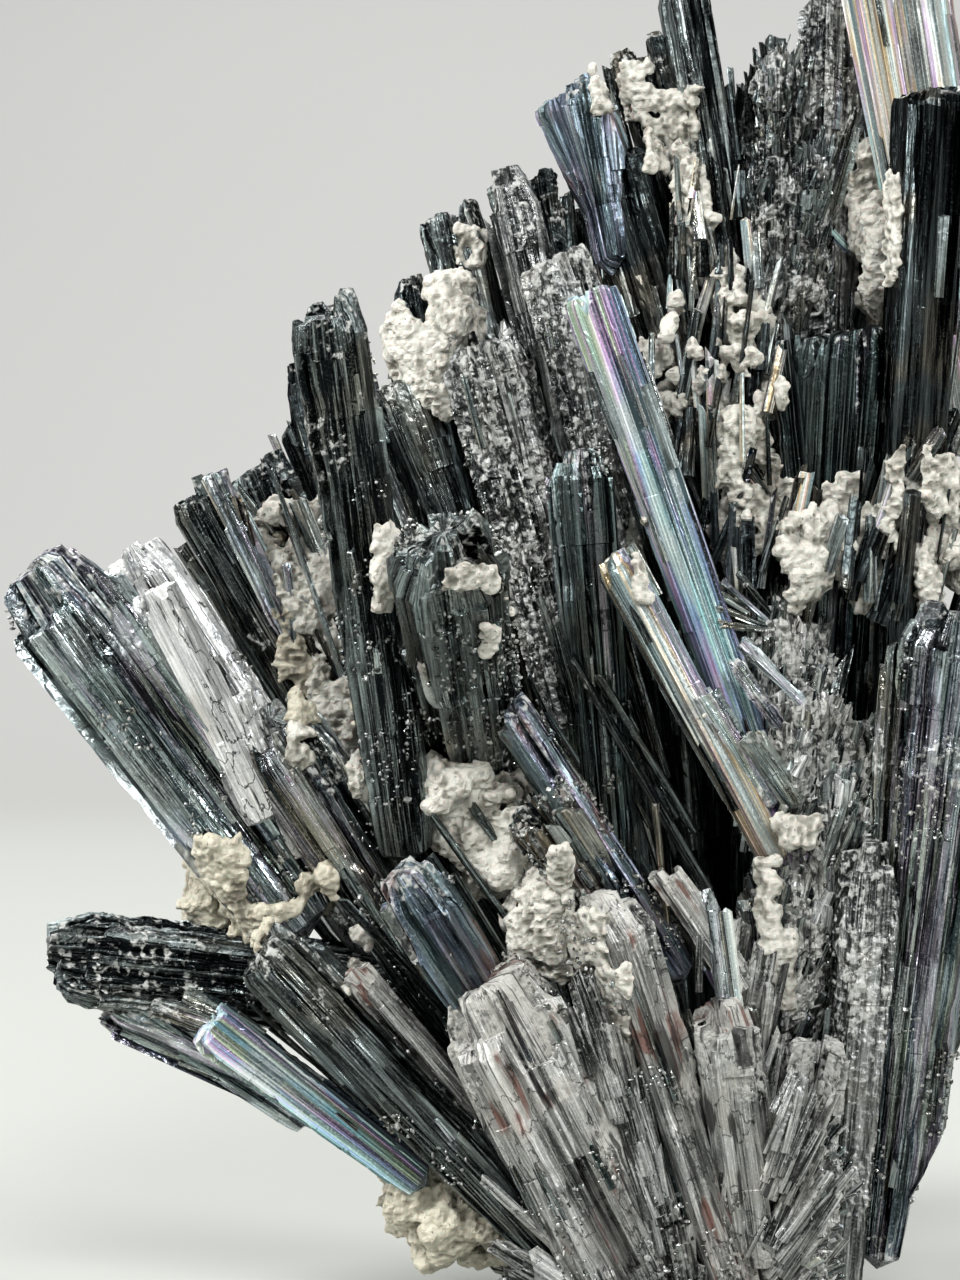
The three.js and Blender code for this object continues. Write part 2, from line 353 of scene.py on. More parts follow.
@dataclass(frozen=True)
class StibniteFinish:
    """Antimony sulphide's metallic lustre, from mirror-bright to frosted, with what has settled on it; some finishes
    also carry painted highlights, sheen and shade.
    """

    name: str
    slot: str
    low: str  # the darker striae
    high: str  # the brighter striae
    film: tuple[tuple[float, str], ...] = ()  # tarnish colours, across the faces
    film_share: float = 0.0
    roughness: tuple[float, float] = (0.2, 0.42)
    dust: float = 0.25  # how much pale powder lies on worn and grainy parts
    dust_colour: str = "#b9bab6"
    stain: float = 0.0  # how much red-brown iron stain there is
    frost: float = 0.0  # how far the lustre is dulled all over
    stria_mm: float = 0.4  # width of the striae, drawn coarser than real ones, which are too fine to show
    run_mm: float = 14.0  # length of the facets along the crystal
    painted_sheen: float = 0.0  # painted sheen: how much of the colour is shown as diffuse colour in place of mirroring, so that tarnish bands and silver show under any light
    cracks: float = 0.0  # how dark the painted shade in its ragged cracks and pits is
    bump_mm: float = 0.13  # how far the striae and grains seem to stand out
    HAIR_MM = 0.2  # width of the hair-fine lines
    GRIT_MM = 0.22  # size of the finest grit
    SPECK_MM = 0.8  # size of the powder's specks
    PATCH_MM = 7.0  # size of the patches that are powdered or tinted together
    TINT = "#8f8471"  # a faint brown over part of the bright striae
    RUST = "#6b4238"
    # The colour of the painted shade in cracks and pits.
    CRACK_SHADE = "#0b0d0e"

    def material(self) -> bpy.types.Material:
        """Builds the finish.

        Returns:
            The material.
        """
        t = Tree(self.name)
        uv = t.add("UVMap", uv_map=STRIAE_UV).outputs["UV"]
        place = t.add("TexCoord").outputs["Object"]
        relief, grain, tone = (t.attribute(n) for n in ("relief", "grain", "tone"))
        fine = t.noise(uv, (self.stria_mm, self.run_mm, 1.0), 4.0)
        broad = t.noise(uv, (1.6, 34.0, 1.0), 2.0)
        specks = t.noise(place, (self.SPECK_MM * MM,) * 3, 4.0)
        patches = t.noise(place, (self.PATCH_MM * MM,) * 3, 3.0)
        own, tilt = self.mosaic(t, uv, self.stria_mm * 1.1, self.run_mm * 0.7)
        wide_own, wide_tilt = self.mosaic(t, uv, self.stria_mm * 3.2, self.run_mm * 1.6)

        # Striae: bright and dark lines along the crystal, and a tone of its own for each crystal. Low relief is darker
        # and high relief lighter: painted shade in the grooves between ridges and in hollows, though on the laths the
        # relief is random.
        lines = t.scaled(fine, 1.2, t.scaled(broad, 1.0, -1.1))
        lines = t.math("ADD", lines, t.scaled(own, 0.45, t.scaled(wide_own, 0.3, -0.4)))
        lines = t.math("ADD", lines, t.scaled(relief, 0.2, t.math("SUBTRACT", tone, 0.5)))
        hairs = t.step(t.noise(uv, (self.HAIR_MM, self.run_mm * 0.4, 1.0), 2.0), 0.52, 0.6)
        grit = t.step(t.noise(place, (self.GRIT_MM * MM,) * 3, 3.0), 0.5, 0.68)
        lines = t.math("ADD", lines, t.scaled(hairs, 0.38, t.scaled(grit, 0.26, -0.1)))
        tinted = t.mix(t.times(t.step(patches, 0.46, 0.66), 0.5), srgb(self.high), srgb(self.TINT))
        colour = t.mix(t.math("ADD", lines, 0.3, clamp=True), srgb(self.low), tinted)
        if self.film:
            drift = t.noise(uv, (2.6, 45.0, 1.0), 1.0)
            drift = t.scaled(own, 0.35, t.scaled(drift, 1.7, -0.5))
            film = t.ramp(drift, self.film)
            shown = t.times(t.step(patches, 0.3, 0.55), self.film_share)
            bright = t.scaled(lines, 1.3, 0.75)
            film = t.mix(1.0, film, t.add("CombineXYZ", {0: bright, 1: bright, 2: bright}).outputs[0], "MULTIPLY")
            colour = t.mix(shown, colour, film)

        # Pale powder and broken grains sit in the worn places.
        settled = t.math("ADD", specks, t.scaled(grain, 0.3, t.times(patches, 0.35)))
        powder = t.step(settled, 1.02 - 0.45 * self.dust, 1.16 - 0.4 * self.dust)
        veil = t.times(t.step(patches, 0.35, 0.75), self.frost)
        cover = t.math("MAXIMUM", t.times(powder, 0.85), veil)
        colour = t.mix(cover, colour, srgb(self.dust_colour))
        if self.stain:
            rusty = t.scaled(t.noise(uv, (1.1, 9.0, 1.0), 4.0), 0.5, t.times(patches, 0.5))
            rust = t.times(t.step(rusty, 0.56, 0.62), self.stain)
            colour = t.mix(rust, colour, srgb(self.RUST))

        # Painted shade: near-black lines along ragged cracks, and near-black pits, where a real crack or pit lies in
        # shadow.
        if self.cracks:
            ragged = t.noise(uv, (3.2, 7.0, 1.0), 7.0)
            off_line = t.step(t.math("ABSOLUTE", t.math("SUBTRACT", ragged, 0.47)), 0.001, 0.011)
            worn = t.noise(uv, (0.9, 11.0, 1.0), 5.0)
            pits = t.step(t.scaled(patches, 0.5, worn), 0.84, 0.9)
            black = t.math("MAXIMUM", t.math("SUBTRACT", 1.0, off_line), pits)
            colour = t.mix(t.times(black, self.cracks), colour, srgb(self.CRACK_SHADE))

        low, high = self.roughness
        gloss = t.scaled(wide_own, high - low, low)
        gloss = t.math("ADD", gloss, t.scaled(cover, 0.4, t.times(grain, 0.1)), clamp=True)
        # Painted sheen: part of the metal is turned into diffuse colour, which shows under any light.
        metal = t.math("SUBTRACT", 1.0 - self.painted_sheen, t.times(cover, 0.75), clamp=True)
        lines_up = t.scaled(tilt, 1.0, t.scaled(wide_tilt, 1.6, t.times(hairs, 0.25)))
        height = t.scaled(specks, t.scaled(grain, 2.2, 0.35), lines_up)
        normal = t.bump(height, self.bump_mm * MM)
        return t.output({"Base Color": colour, "Roughness": gloss, "Metallic": metal, "Normal": normal})

    def mosaic(self, t: Tree, uv, width: float, length: float) -> tuple[bpy.types.NodeSocket, bpy.types.NodeSocket]:
        """Long narrow facets side by side.

        Args:
            t: the tree to add to.
            uv: millimetres round and along.
            width: the facets' width in millimetres.
            length: their length in millimetres.

        Returns:
            A random number for each facet, and a height that tilts each facet its own way.
        """
        scaled = t.add("Mapping", {"Vector": uv, "Scale": (1 / width, 1 / length, 1.0)}).outputs[0]
        cells = t.add("TexVoronoi", {"Vector": scaled, "Scale": 1.0}, voronoi_dimensions="2D")
        own = t.add("SeparateXYZ", {0: cells.outputs["Color"]}).outputs
        here = t.add("SeparateXYZ", {0: scaled}).outputs["X"]
        middle = t.add("SeparateXYZ", {0: cells.outputs["Position"]}).outputs["X"]
        turn = t.scaled(own["Y"], 2.0, -1.0)
        return own["X"], t.times(t.math("SUBTRACT", here, middle), turn)


@dataclass(frozen=True)
class CalciteFinish:
    """Dull to waxy calcite, white on the high parts and darker in the hollows, which is painted shade."""

    name: str
    pale: str = "#b3b1a8"
    middle: str = "#86847a"
    deep: str = "#504e46"
    slot: str = "calcite"

    def material(self) -> bpy.types.Material:
        """Builds the finish.

        Returns:
            The material.
        """
        t = Tree(self.name)
        place = t.add("TexCoord").outputs["Object"]
        relief = t.attribute("relief")
        patches = t.noise(place, (6 * MM,) * 3, 4.0)
        grains = t.noise(place, (0.7 * MM,) * 3, 4.0)
        # Painted shade: low relief, the hollows, takes the deep colour and high relief the pale one, mixed with random
        # patches.
        worn = t.scaled(relief, 0.32, t.scaled(patches, 0.9, 0.1))
        colour = t.ramp(worn, ((0.15, self.deep), (0.42, self.middle), (0.68, self.pale)))
        specks = t.step(t.noise(place, (0.5 * MM,) * 3, 3.0), 0.64, 0.72)
        colour = t.mix(t.times(specks, 0.8), colour, srgb("#3b3c3a"))
        gloss = t.scaled(grains, 0.35, 0.38)
        look = {"Base Color": colour, "Roughness": gloss, "Normal": t.bump(grains, 0.2 * MM)}
        return t.output(look | {"Subsurface Weight": 0.12, "Subsurface Scale": 1.2 * MM})


BLUE_FILM = (
    (0.0, "#2f5c69"), (0.18, "#8fc2c6"), (0.34, "#bfdcd6"), (0.48, "#7f9fc6"), (0.62, "#c49bcc"), (0.78, "#b3c49f"),
    (1.0, "#5e96a6"),
)
GOLD_FILM = (
    (0.0, "#566a73"), (0.25, "#9dbfc4"), (0.45, "#dfe2d8"), (0.6, "#c4a972"), (0.76, "#ac86b6"), (1.0, "#74a8a4"),
)
TEAL_FILM = ((0.0, "#141b1c"), (0.35, "#2b3f42"), (0.55, "#5f7f80"), (0.75, "#8a7f92"), (1.0, "#7f8b70"))


class Finish(Enum):
    """The finishes that the spray's surfaces have."""

    # The deep grey, mirror-like faces that most of the spray shows.
    DARK = StibniteFinish("dark stibnite", "stibnite_dark", "#101314", "#9aa5a4", roughness=(0.12, 0.36), dust=0.05)
    # Painted shade: a darker copy of the stibnite for the nearly black faces that turn away from the light.
    BLACK = StibniteFinish("shaded black stibnite", "stibnite_dark", "#090b0c", "#545d5e", roughness=(0.12, 0.34), dust=0.02)
    # Plain cool grey metal with a hint of tarnish.
    STEEL = StibniteFinish(
        "steel grey stibnite", "stibnite_bright", "#202527", "#bcc7c6", GOLD_FILM, 0.14, roughness=(0.12, 0.36),
        dust=0.1,
    )
    # Painted highlight: a lighter copy of the stibnite for the silver faces that catch the light, with pastel tarnish
    # bands.
    LIT_SILVER = StibniteFinish(
        "lit silver stibnite", "stibnite_bright", "#2c3133", "#dce5e5", BLUE_FILM, 0.22, roughness=(0.1, 0.34), dust=0.1,
        cracks=0.6,
    )
    # A bluish grey face with rusty streaks.
    BLUE_GREY = StibniteFinish(
        "blue grey stibnite", "stibnite_bright", "#22292e", "#8b9aa3", BLUE_FILM, 0.2, dust=0.15, stain=0.5, frost=0.1
    )
    # Soft pastel blue, green and violet tarnish bands, partly shown as diffuse colour: real tarnish colours with a
    # painted sheen.
    IRIDESCENT = StibniteFinish(
        "iridescent stibnite", "stibnite_iridescent", "#45575c", "#eff7f5", BLUE_FILM, 0.85, (0.2, 0.38), 0.3,
        run_mm=60.0, bump_mm=0.08, dust_colour="#a9c0c4", painted_sheen=0.5,
    )
    # Warm gold next to violet, on smooth faces, partly shown as diffuse colour: real tarnish colours with a painted
    # sheen.
    GOLDEN = StibniteFinish(
        "gold and violet tarnish", "stibnite_iridescent", "#262a2b", "#d5d9d6", GOLD_FILM, 0.6, (0.12, 0.3), 0.02,
        run_mm=60.0, bump_mm=0.08, painted_sheen=0.4,
    )
    # A dark face with a green-blue gleam.
    TEAL = StibniteFinish(
        "dark teal tarnish", "stibnite_iridescent", "#0a0c0d", "#7b8684", TEAL_FILM, 0.3, (0.12, 0.34), 0.03,
        run_mm=36.0, bump_mm=0.1,
    )
    # Dull silver under pale powder, stained, with painted shade in its cracks.
    FROSTED = StibniteFinish(
        "frosted stibnite", "stibnite_frosted", "#505050", "#e8e9e6", dust=0.5, roughness=(0.24, 0.46), stain=0.8,
        frost=0.55, dust_colour="#b4b3ad", cracks=0.8,
    )
    # Painted highlight: the brightest silver, near white and partly diffuse so that it shines under any light, torn by
    # dark cracks.
    MIRROR = StibniteFinish(
        "highlight silver stibnite", "stibnite_bright", "#8d9091", "#fbfbfa", roughness=(0.14, 0.34), dust=0.2,
        painted_sheen=0.35, cracks=0.95,
    )
    # Dark, sparkling grains.
    GRANULAR = StibniteFinish(
        "granular stibnite", "stibnite_granular", "#1f2223", "#c4c7c6", dust=0.15, roughness=(0.16, 0.42), frost=0.15,
        bump_mm=0.2,
    )
    # Pale, dusty broken grains.
    GRITTY = StibniteFinish(
        "gritty stibnite", "stibnite_granular", "#232525", "#e6e8e6", dust=0.4, roughness=(0.2, 0.5), frost=0.5,
        dust_colour="#aaaaa5", bump_mm=0.2, cracks=0.85,
    )
    # A brownish cast in the shaded gaps.
    BRONZE = StibniteFinish(
        "bronze tarnish", "stibnite_frosted", "#1f1b1b", "#8d8a80", GOLD_FILM, 0.25, dust=0.1, stain=0.5
    )
    # Dull white crusts, with painted shade making their hollows grey.
    CALCITE = CalciteFinish("white calcite")
    # The cream coloured calcite low on the left.
    YELLOW_CALCITE = CalciteFinish("yellowish calcite", "#aaa695", "#8d8878", "#5a564a")


class Workshop:
    """Makes each finish once, when it is first asked for, and dresses the pieces in them."""

    def __init__(self) -> None:
        """Starts with no materials."""
        self.made: dict[Finish, bpy.types.Material] = {}

    def dress(self, name: str, mesh: bpy.types.Mesh, finish: Finish, *nodes: str) -> None:
        """Makes a mesh one of the spray's pieces.

        Args:
            name: the piece's name.
            mesh: its mesh, in metres and in place.
            finish: its finish.
            nodes: the CAD nodes that it stands for.
        """
        if finish not in self.made:
            self.made[finish] = finish.value.material()
        piece = bpy.data.objects.new(name, mesh)
        bpy.context.collection.objects.link(piece)
        mesh.materials.append(self.made[finish])
        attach(piece, "root")
        if nodes:
            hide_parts(*nodes)
        LOG.info("%s: %d faces", name, len(mesh.polygons))


# ---- Crystals ----------------------------------------------------------------------------------


class ConvexForm:
    """The convex outer form of a solid, in millimetres: face planes, an axis and a middle."""

    SLIVER = 1e-4  # faces with a smaller area are left out
    SQUARE = 1e-6  # a face this near to edge-on is never met

    def __init__(self, bm: bmesh.types.BMesh, axis: np.ndarray | None = None) -> None:
        """Reads the form and leaves the bmesh freed.

        Args:
            bm: a solid in metres.
            axis: the way it points, when that is known.
        """
        hull = bmesh.ops.convex_hull(bm, input=bm.verts)
        faces = [f for f in hull["geom"] if isinstance(f, bmesh.types.BMFace)]
        corners = np.array([[v.co[:] for v in f.verts[:3]] for f in faces]) / MM
        bm.free()
        normal = np.cross(corners[:, 1] - corners[:, 0], corners[:, 2] - corners[:, 0])
        area = np.linalg.norm(normal, axis=1) / 2
        keep = area > self.SLIVER
        corners, area = corners[keep], area[keep]
        self.normals = unit(normal[keep])
        middle = corners.reshape(-1, 3).mean(axis=0)
        inward = np.einsum("ij,ij->i", self.normals, corners[:, 0] - middle) < 0
        self.normals[inward] *= -1
        self.offsets = np.einsum("ij,ij->i", self.normals, corners[:, 0])
        volume = area * np.einsum("ij,ij->i", self.normals, corners[:, 0] - middle) / 3
        centres = (corners.sum(axis=1) + middle) / 4
        self.middle = (volume[:, None] * centres).sum(axis=0) / volume.sum()
        spread = np.einsum("i,ij,ik->jk", area, self.normals, self.normals)
        self.axis = np.linalg.eigh(spread)[1][:, 0] if axis is None else axis
        if axis is None and self.axis @ (self.middle - ROOT_POINT) < 0:
            self.axis = -self.axis

    def reach(self, origins: np.ndarray, ways: np.ndarray) -> tuple[np.ndarray, np.ndarray]:
        """How far it is from points inside to the surface.

        Args:
            origins: points inside, one row each.
            ways: unit directions, one row each.

        Returns:
            The distances, and the number of the plane that each one meets.
        """
        closing = ways @ self.normals.T
        gap = self.offsets - origins @ self.normals.T
        distance = np.where(closing > self.SQUARE, gap / np.maximum(closing, self.SQUARE), np.inf)
        nearest = distance.argmin(axis=1)
        return np.maximum(distance[np.arange(len(distance)), nearest], 0.0), nearest

    def front(self, points: np.ndarray) -> np.ndarray:
        """The Y of the form's front surface at each point's X and Z.

        Args:
            points: positions in millimetres, one row each.

        Returns:
            One Y for each point, or infinity where the form is neither behind nor before it.
        """
        toward, away = self.normals[:, 1] < -self.SQUARE, self.normals[:, 1] > self.SQUARE
        fixed = self.offsets - points[:, [0, 2]] @ self.normals[:, [0, 2]].T
        near = (fixed[:, toward] / self.normals[toward, 1]).max(axis=1)
        far = (fixed[:, away] / self.normals[away, 1]).min(axis=1)
        return np.where(near < far, near, np.inf)


def first_surface(forms: dict[str, ConvexForm], points: np.ndarray, margin: float = 3.0) -> np.ndarray:
    """The Y of the first crystal behind each point.

    Args:
        forms: the crystals.
        points: positions in millimetres.
        margin: how far in front of a point a surface may be and still count.

    Returns:
        One Y for each point, or infinity where nothing is behind it.
    """
    fronts = np.stack([form.front(points) for form in forms.values()])
    return np.where(fronts > points[:, 1] - margin, fronts, np.inf).min(axis=0)


@dataclass
class Growth:
    """How a crystal grew and wore: its ridges, its broken tip and its grains."""

    ridge: float = 2.2  # width of the main ridges
    relief: float = 0.32  # how far they stand out
    stria: float = 0.65  # width of the fine striae on them
    fine: float = 0.11  # how far those stand out
    lath: float = 1.3  # width of the laths that show where the tip is broken
    ragged: float = 3.0  # how far apart in height the broken laths end
    grain: float = 0.12  # grain height on the worn parts
    worn_tip: float = 5.0  # length of the grainy part at the tip
    worn: float = 0.25  # share of the rest that is grainy
    steps: int = 12  # growth steps along the crystal
    bite: float = 0.5  # depth of the chipped places
    rootward: float = 4.0  # how far the foot runs on under its neighbours
    tone: float = 0.5  # 0 dark to 1 bright
    row: float = 1.1  # spacing of the mesh along the crystal


class Crystal:
    """One prism, wrapped closely round a convex form and then given its growth ridges."""

    COLUMN = 0.5  # widest spacing of the mesh round a crystal
    WALL = 0.05  # width of the steep wall between two ridges
    WORN_ROW = 0.45  # spacing of the rows on the worn part of the tip
    CAP_ROW = 0.42  # spacing of the rows over the tip
    STEP = 0.05  # half the length of a growth step's slope
    FOOT_ROWS = 4
    OUTLINE_STEPS = 1441

    def __init__(self, form: ConvexForm, growth: Growth, seed: int) -> None:
        """Works out the crystal's frame.

        Args:
            form: the shape to wrap.
            growth: how it grew.
            seed: makes its pattern its own.
        """
        self.form, self.growth = form, growth
        self.random = np.random.default_rng(seed)
        self.seed = seed
        steep = abs(form.axis[2]) >= 0.95
        self.across = unit(np.cross(form.axis, [0.0, 1.0, 0.0] if steep else [0.0, 0.0, 1.0]))
        self.through = np.cross(form.axis, self.across)
        ends, _ = form.reach(np.stack([form.middle] * 2), np.stack([form.axis, -form.axis]))
        self.up, self.down = ends
        self.length = self.up + self.down

    def radial(self, angles: np.ndarray) -> np.ndarray:
        """Unit directions square to the axis."""
        return np.outer(np.cos(angles), self.across) + np.outer(np.sin(angles), self.through)

    def outline(self) -> None:
        """Measures the middle section: the angle and the distance round at fine steps, and its corners."""
        angles = np.linspace(0, 2 * np.pi, self.OUTLINE_STEPS)
        ways = self.radial(angles)
        distance, plane = self.form.reach(np.repeat(self.form.middle[None], len(angles), axis=0), ways)
        rim = ways * distance[:, None]
        run = np.r_[0.0, np.cumsum(np.linalg.norm(np.diff(rim, axis=0), axis=1))]
        turn = self.form.normals[plane]
        sharp = np.einsum("ij,ij->i", turn[1:], turn[:-1]) < 0.97
        self.angles, self.run, self.round = angles, run, run[-1]
        self.corners = run[1:][sharp]
        self.radius = float(distance.mean())

    def cuts(self, pitch: float) -> np.ndarray:
        """Random ridge edges round the crystal, with its own corners among them.

        Args:
            pitch: the ridges' mean width.

        Returns:
            Rising positions from 0 to the distance round, the ends included.
        """
        count = max(6, round(self.round / pitch))
        widths = self.random.lognormal(0.0, 0.55, count)
        edges = np.cumsum(widths)[:-1] / widths.sum() * self.round
        for corner in self.corners:
            edges[np.abs(edges - corner).argmin()] = corner
        edges = np.unique(np.r_[0.0, np.sort(edges), self.round])
        wide = np.r_[True, np.diff(edges) > 3.2 * self.WALL]
        edges = edges[wide]
        edges[-1] = self.round
        return edges

    def columns(self, edges: np.ndarray) -> np.ndarray:
        """Where the mesh has its columns: two at each edge, and more between them where a ridge is wide.

        Args:
            edges: the ridges' edges round the crystal.

        Returns:
            Their places round the crystal, in millimetres.
        """
        spots: list[float] = []
        for low, high in zip(edges[:-1], edges[1:]):
            inner = np.linspace(low + self.WALL, high - self.WALL, 2 + int((high - low) / self.COLUMN))
            spots.extend(inner)
        return np.array(spots)

    def rows(self) -> tuple[np.ndarray, np.ndarray]:
        """Places the rows of the mesh along the side, and the growth steps.

        Returns:
            The rows' places along the axis, from tip to foot, and the growth steps' places, rising.
        """
        g = self.growth
        inset = min(self.radius * 0.9, self.length * 0.3)
        top, bottom = self.up - inset, -self.down + inset
        worn = np.arange(top, max(top - g.worn_tip, bottom), -self.WORN_ROW)
        rest = np.arange(worn[-1] - 0.6, bottom, -g.row)
        steps = self.random.uniform(bottom, top, g.steps)
        both = np.r_[worn, rest, steps - self.STEP, steps + self.STEP, bottom]
        both = np.sort(both)[::-1]
        keep = np.r_[True, -np.diff(both) > 0.04]
        return both[keep], np.sort(steps)

    def mesh(self, name: str) -> bpy.types.Mesh:
        """Builds the crystal's mesh.

        Args:
            name: the mesh's name.

        Returns:
            The mesh, in metres and in place.
        """
        g, form = self.growth, self.form
        self.outline()
        coarse = self.cuts(g.ridge)
        edges = self.cuts(g.stria)
        columns = self.columns(edges)
        side, steps = self.rows()
        cap = max(6, int(self.radius / self.CAP_ROW))
        foot = self.FOOT_ROWS
        around, down = len(columns), cap + len(side) - 1 + foot
        bm = bmesh.new()
        bm.loops.layers.uv.new(STRIAE_UV)
        bmesh.ops.create_uvsphere(bm, u_segments=around, v_segments=down, radius=1.0)
        mesh = bpy.data.meshes.new(name)
        bm.to_mesh(mesh)
        bm.free()

        # Which column and row of the grid each vertex of the sphere is.
        ball = unit(vertex_rows(mesh))
        row = np.rint(np.arccos(np.clip(ball[:, 2], -1, 1)) / np.pi * down).astype(int)
        column = np.rint(np.arctan2(ball[:, 1], ball[:, 0]) / (2 * np.pi) * around).astype(int) % around

        # Each row leaves a point on the axis at an angle to it: level on the sides, turning up at the ends.
        lean = np.r_[np.linspace(0, np.pi / 2, cap, endpoint=False), np.full(len(side), np.pi / 2)]
        lean = np.r_[lean, np.linspace(np.pi / 2, np.pi, foot + 1)[1:]]
        level = np.r_[np.full(cap, side[0]), side, np.full(foot, side[-1])]
        angle = np.interp(columns, self.run, self.angles)[column]
        radial = self.radial(angle)
        ways = np.cos(lean[row])[:, None] * form.axis + np.sin(lean[row])[:, None] * radial
        origins = form.middle + level[row][:, None] * form.axis
        distance, _ = form.reach(origins, ways)

        # The foot runs on towards the root, narrowing, so that no crystal ends in the open.
        under = np.clip((row - (cap + len(side) - 1)) / foot, 0, 1)
        hidden = under > 0
        last = form.middle + side[-1] * form.axis
        rim, _ = form.reach(np.repeat(last[None], hidden.sum(), axis=0), radial[hidden])
        origins[hidden] = last - (under[hidden] * (g.rootward + self.down + side[-1]))[:, None] * form.axis
        ways[hidden] = radial[hidden]
        distance[hidden] = rim * np.where(under[hidden] < 1, 1 - 0.25 * under[hidden] ** 2, 0)

        # Ridges and striae: each has its own height, and the height changes at some of the growth steps.
        along = (origins + ways * distance[:, None] - form.middle) @ form.axis
        period = np.searchsorted(steps, along)
        height = self.ridge_heights(coarse, columns, g.relief, len(steps))[period, column]
        height = height + self.ridge_heights(edges, columns, g.fine, len(steps))[period, column]
        flank = np.sin(lean[row])
        distance = distance + height * flank

        # Grains on the worn parts.
        points = origins + ways * distance[:, None]
        worn = np.clip(1 - (self.up - along) / max(g.worn_tip, 0.1), 0, 1)
        patch = smooth_noise(points, 6.0, self.seed + 5) * 0.5 + 0.5
        grain = np.clip(np.maximum(worn * 1.3 - 0.15 * patch, (g.worn - patch) * 5 + 0.5), 0, 1)
        rough = smooth_noise(points, 0.8, self.seed) + 0.6 * smooth_noise(points, 0.42, self.seed + 1)
        points += ways * (g.grain * grain * rough)[:, None]
        bites = np.clip(smooth_noise(points, 3.0, self.seed + 3) - 0.4, 0, 1) * g.bite
        points -= ways * (bites * flank)[:, None]
        place_vertices(mesh, self.broken_tip(points))
        relief = np.clip(height / max(g.relief, 0.05), -1, 1)
        set_point_values(mesh, relief=relief, grain=grain, tone=g.tone)
        self.lay_uv(mesh, columns[column], along + self.down)
        return mesh

    def ridge_heights(self, edges: np.ndarray, columns: np.ndarray, relief: float, steps: int) -> np.ndarray:
        """The height of each column in each stretch between growth steps.

        Args:
            edges: the ridges' edges round the crystal.
            columns: the mesh's columns.
            relief: how far a ridge may stand out.
            steps: how many growth steps there are.

        Returns:
            A table with a row for each stretch and a column for each mesh column.
        """
        ridge = np.clip(np.searchsorted(edges, columns) - 1, 0, len(edges) - 2)
        count = len(edges) - 1
        base = self.random.uniform(-1, 0.6, count) - (self.random.random(count) < 0.12) * 1.2
        tilt = self.random.normal(0, 1.1, count)
        table = []
        shift = np.zeros(count)
        for _ in range(steps + 1):
            changed = self.random.random(count) < 0.1
            shift = np.where(changed, self.random.normal(0, 0.55, count), shift)
            table.append((base + shift)[ridge])
        share = (columns - edges[ridge]) / np.maximum(edges[ridge + 1] - edges[ridge], 0.01) - 0.5
        return relief * (np.array(table) + (tilt[ridge] * share)[None])

    def broken_tip(self, points: np.ndarray) -> np.ndarray:
        """Ends each lath of the tip at its own height.

        Args:
            points: the crystal's points.

        Returns:
            The points, with none above the end of the lath that it is on.
        """
        g, form = self.growth, self.form
        local = points - form.middle
        height = local @ form.axis
        flat = np.stack([local @ self.across, local @ self.through], axis=1)
        count = max(5, int(np.pi * self.radius**2 / g.lath**2))
        sites = self.random.uniform(-1.25, 1.25, (count * 2, 2)) * self.radius
        drop = self.random.exponential(0.45, len(sites)) * g.ragged
        drop = 0.35 + drop * (self.random.random(len(sites)) < 0.75)
        away = np.linalg.norm(flat[:, None] - sites[None], axis=2)
        heart = form.middle + (sites[:, :1] * self.across + sites[:, 1:] * self.through) * 0.9
        level, _ = form.reach(heart, np.repeat(form.axis[None], len(heart), axis=0))
        level = np.where(level > 0, level, self.up * 0.8) - np.minimum(drop, self.length * 0.3)
        limit = np.maximum(level[away.argmin(axis=1)], -self.down * 0.5)
        chips = 0.15 * smooth_noise(points, 0.5, self.seed + 9)
        over = np.maximum(height - limit, 0)
        return points - form.axis * (over * 0.985 + np.where(over > 0, chips, 0))[:, None]

    def lay_uv(self, mesh: bpy.types.Mesh, spots: np.ndarray, along: np.ndarray) -> None:
        """Writes the map of millimetres round and along, and keeps it whole across the seam.

        Args:
            mesh: the crystal's mesh.
            spots: how far round each vertex is.
            along: how far along each vertex is.
        """
        starts = np.empty(len(mesh.polygons), dtype=int)
        mesh.polygons.foreach_get("loop_start", starts)
        corner = corner_vertices(mesh)
        owner = np.searchsorted(starts, np.arange(len(corner)), side="right") - 1
        spot = spots[corner]
        far = np.zeros(len(starts))
        np.maximum.at(far, owner, spot)
        spot = np.where(far[owner] - spot > self.round / 2, spot + self.round, spot)
        lay_map(mesh, np.stack([spot + 40.0 * (self.seed % 17), along[corner]], axis=1))


GROWTHS = {
    "smooth": Growth(relief=0.2, fine=0.08, ragged=1.4, worn_tip=1.5, worn=0.05, grain=0.08, bite=0.2),
    "striated": Growth(),
    "rough": Growth(relief=0.5, fine=0.14, lath=1.9, ragged=6.0, worn_tip=8.0, worn=0.35, grain=0.2, bite=0.9),
    "granular": Growth(
        relief=0.4, fine=0.16, lath=1.6, ragged=4.0, worn_tip=60.0, worn=0.6, grain=0.22, row=0.6, bite=0.9
    ),
    "bundle": Growth(
        ridge=2.6, relief=1.2, stria=0.9, fine=0.25, lath=3.0, ragged=18.0, worn_tip=6.0, row=1.4, rootward=0.0
    ),
}

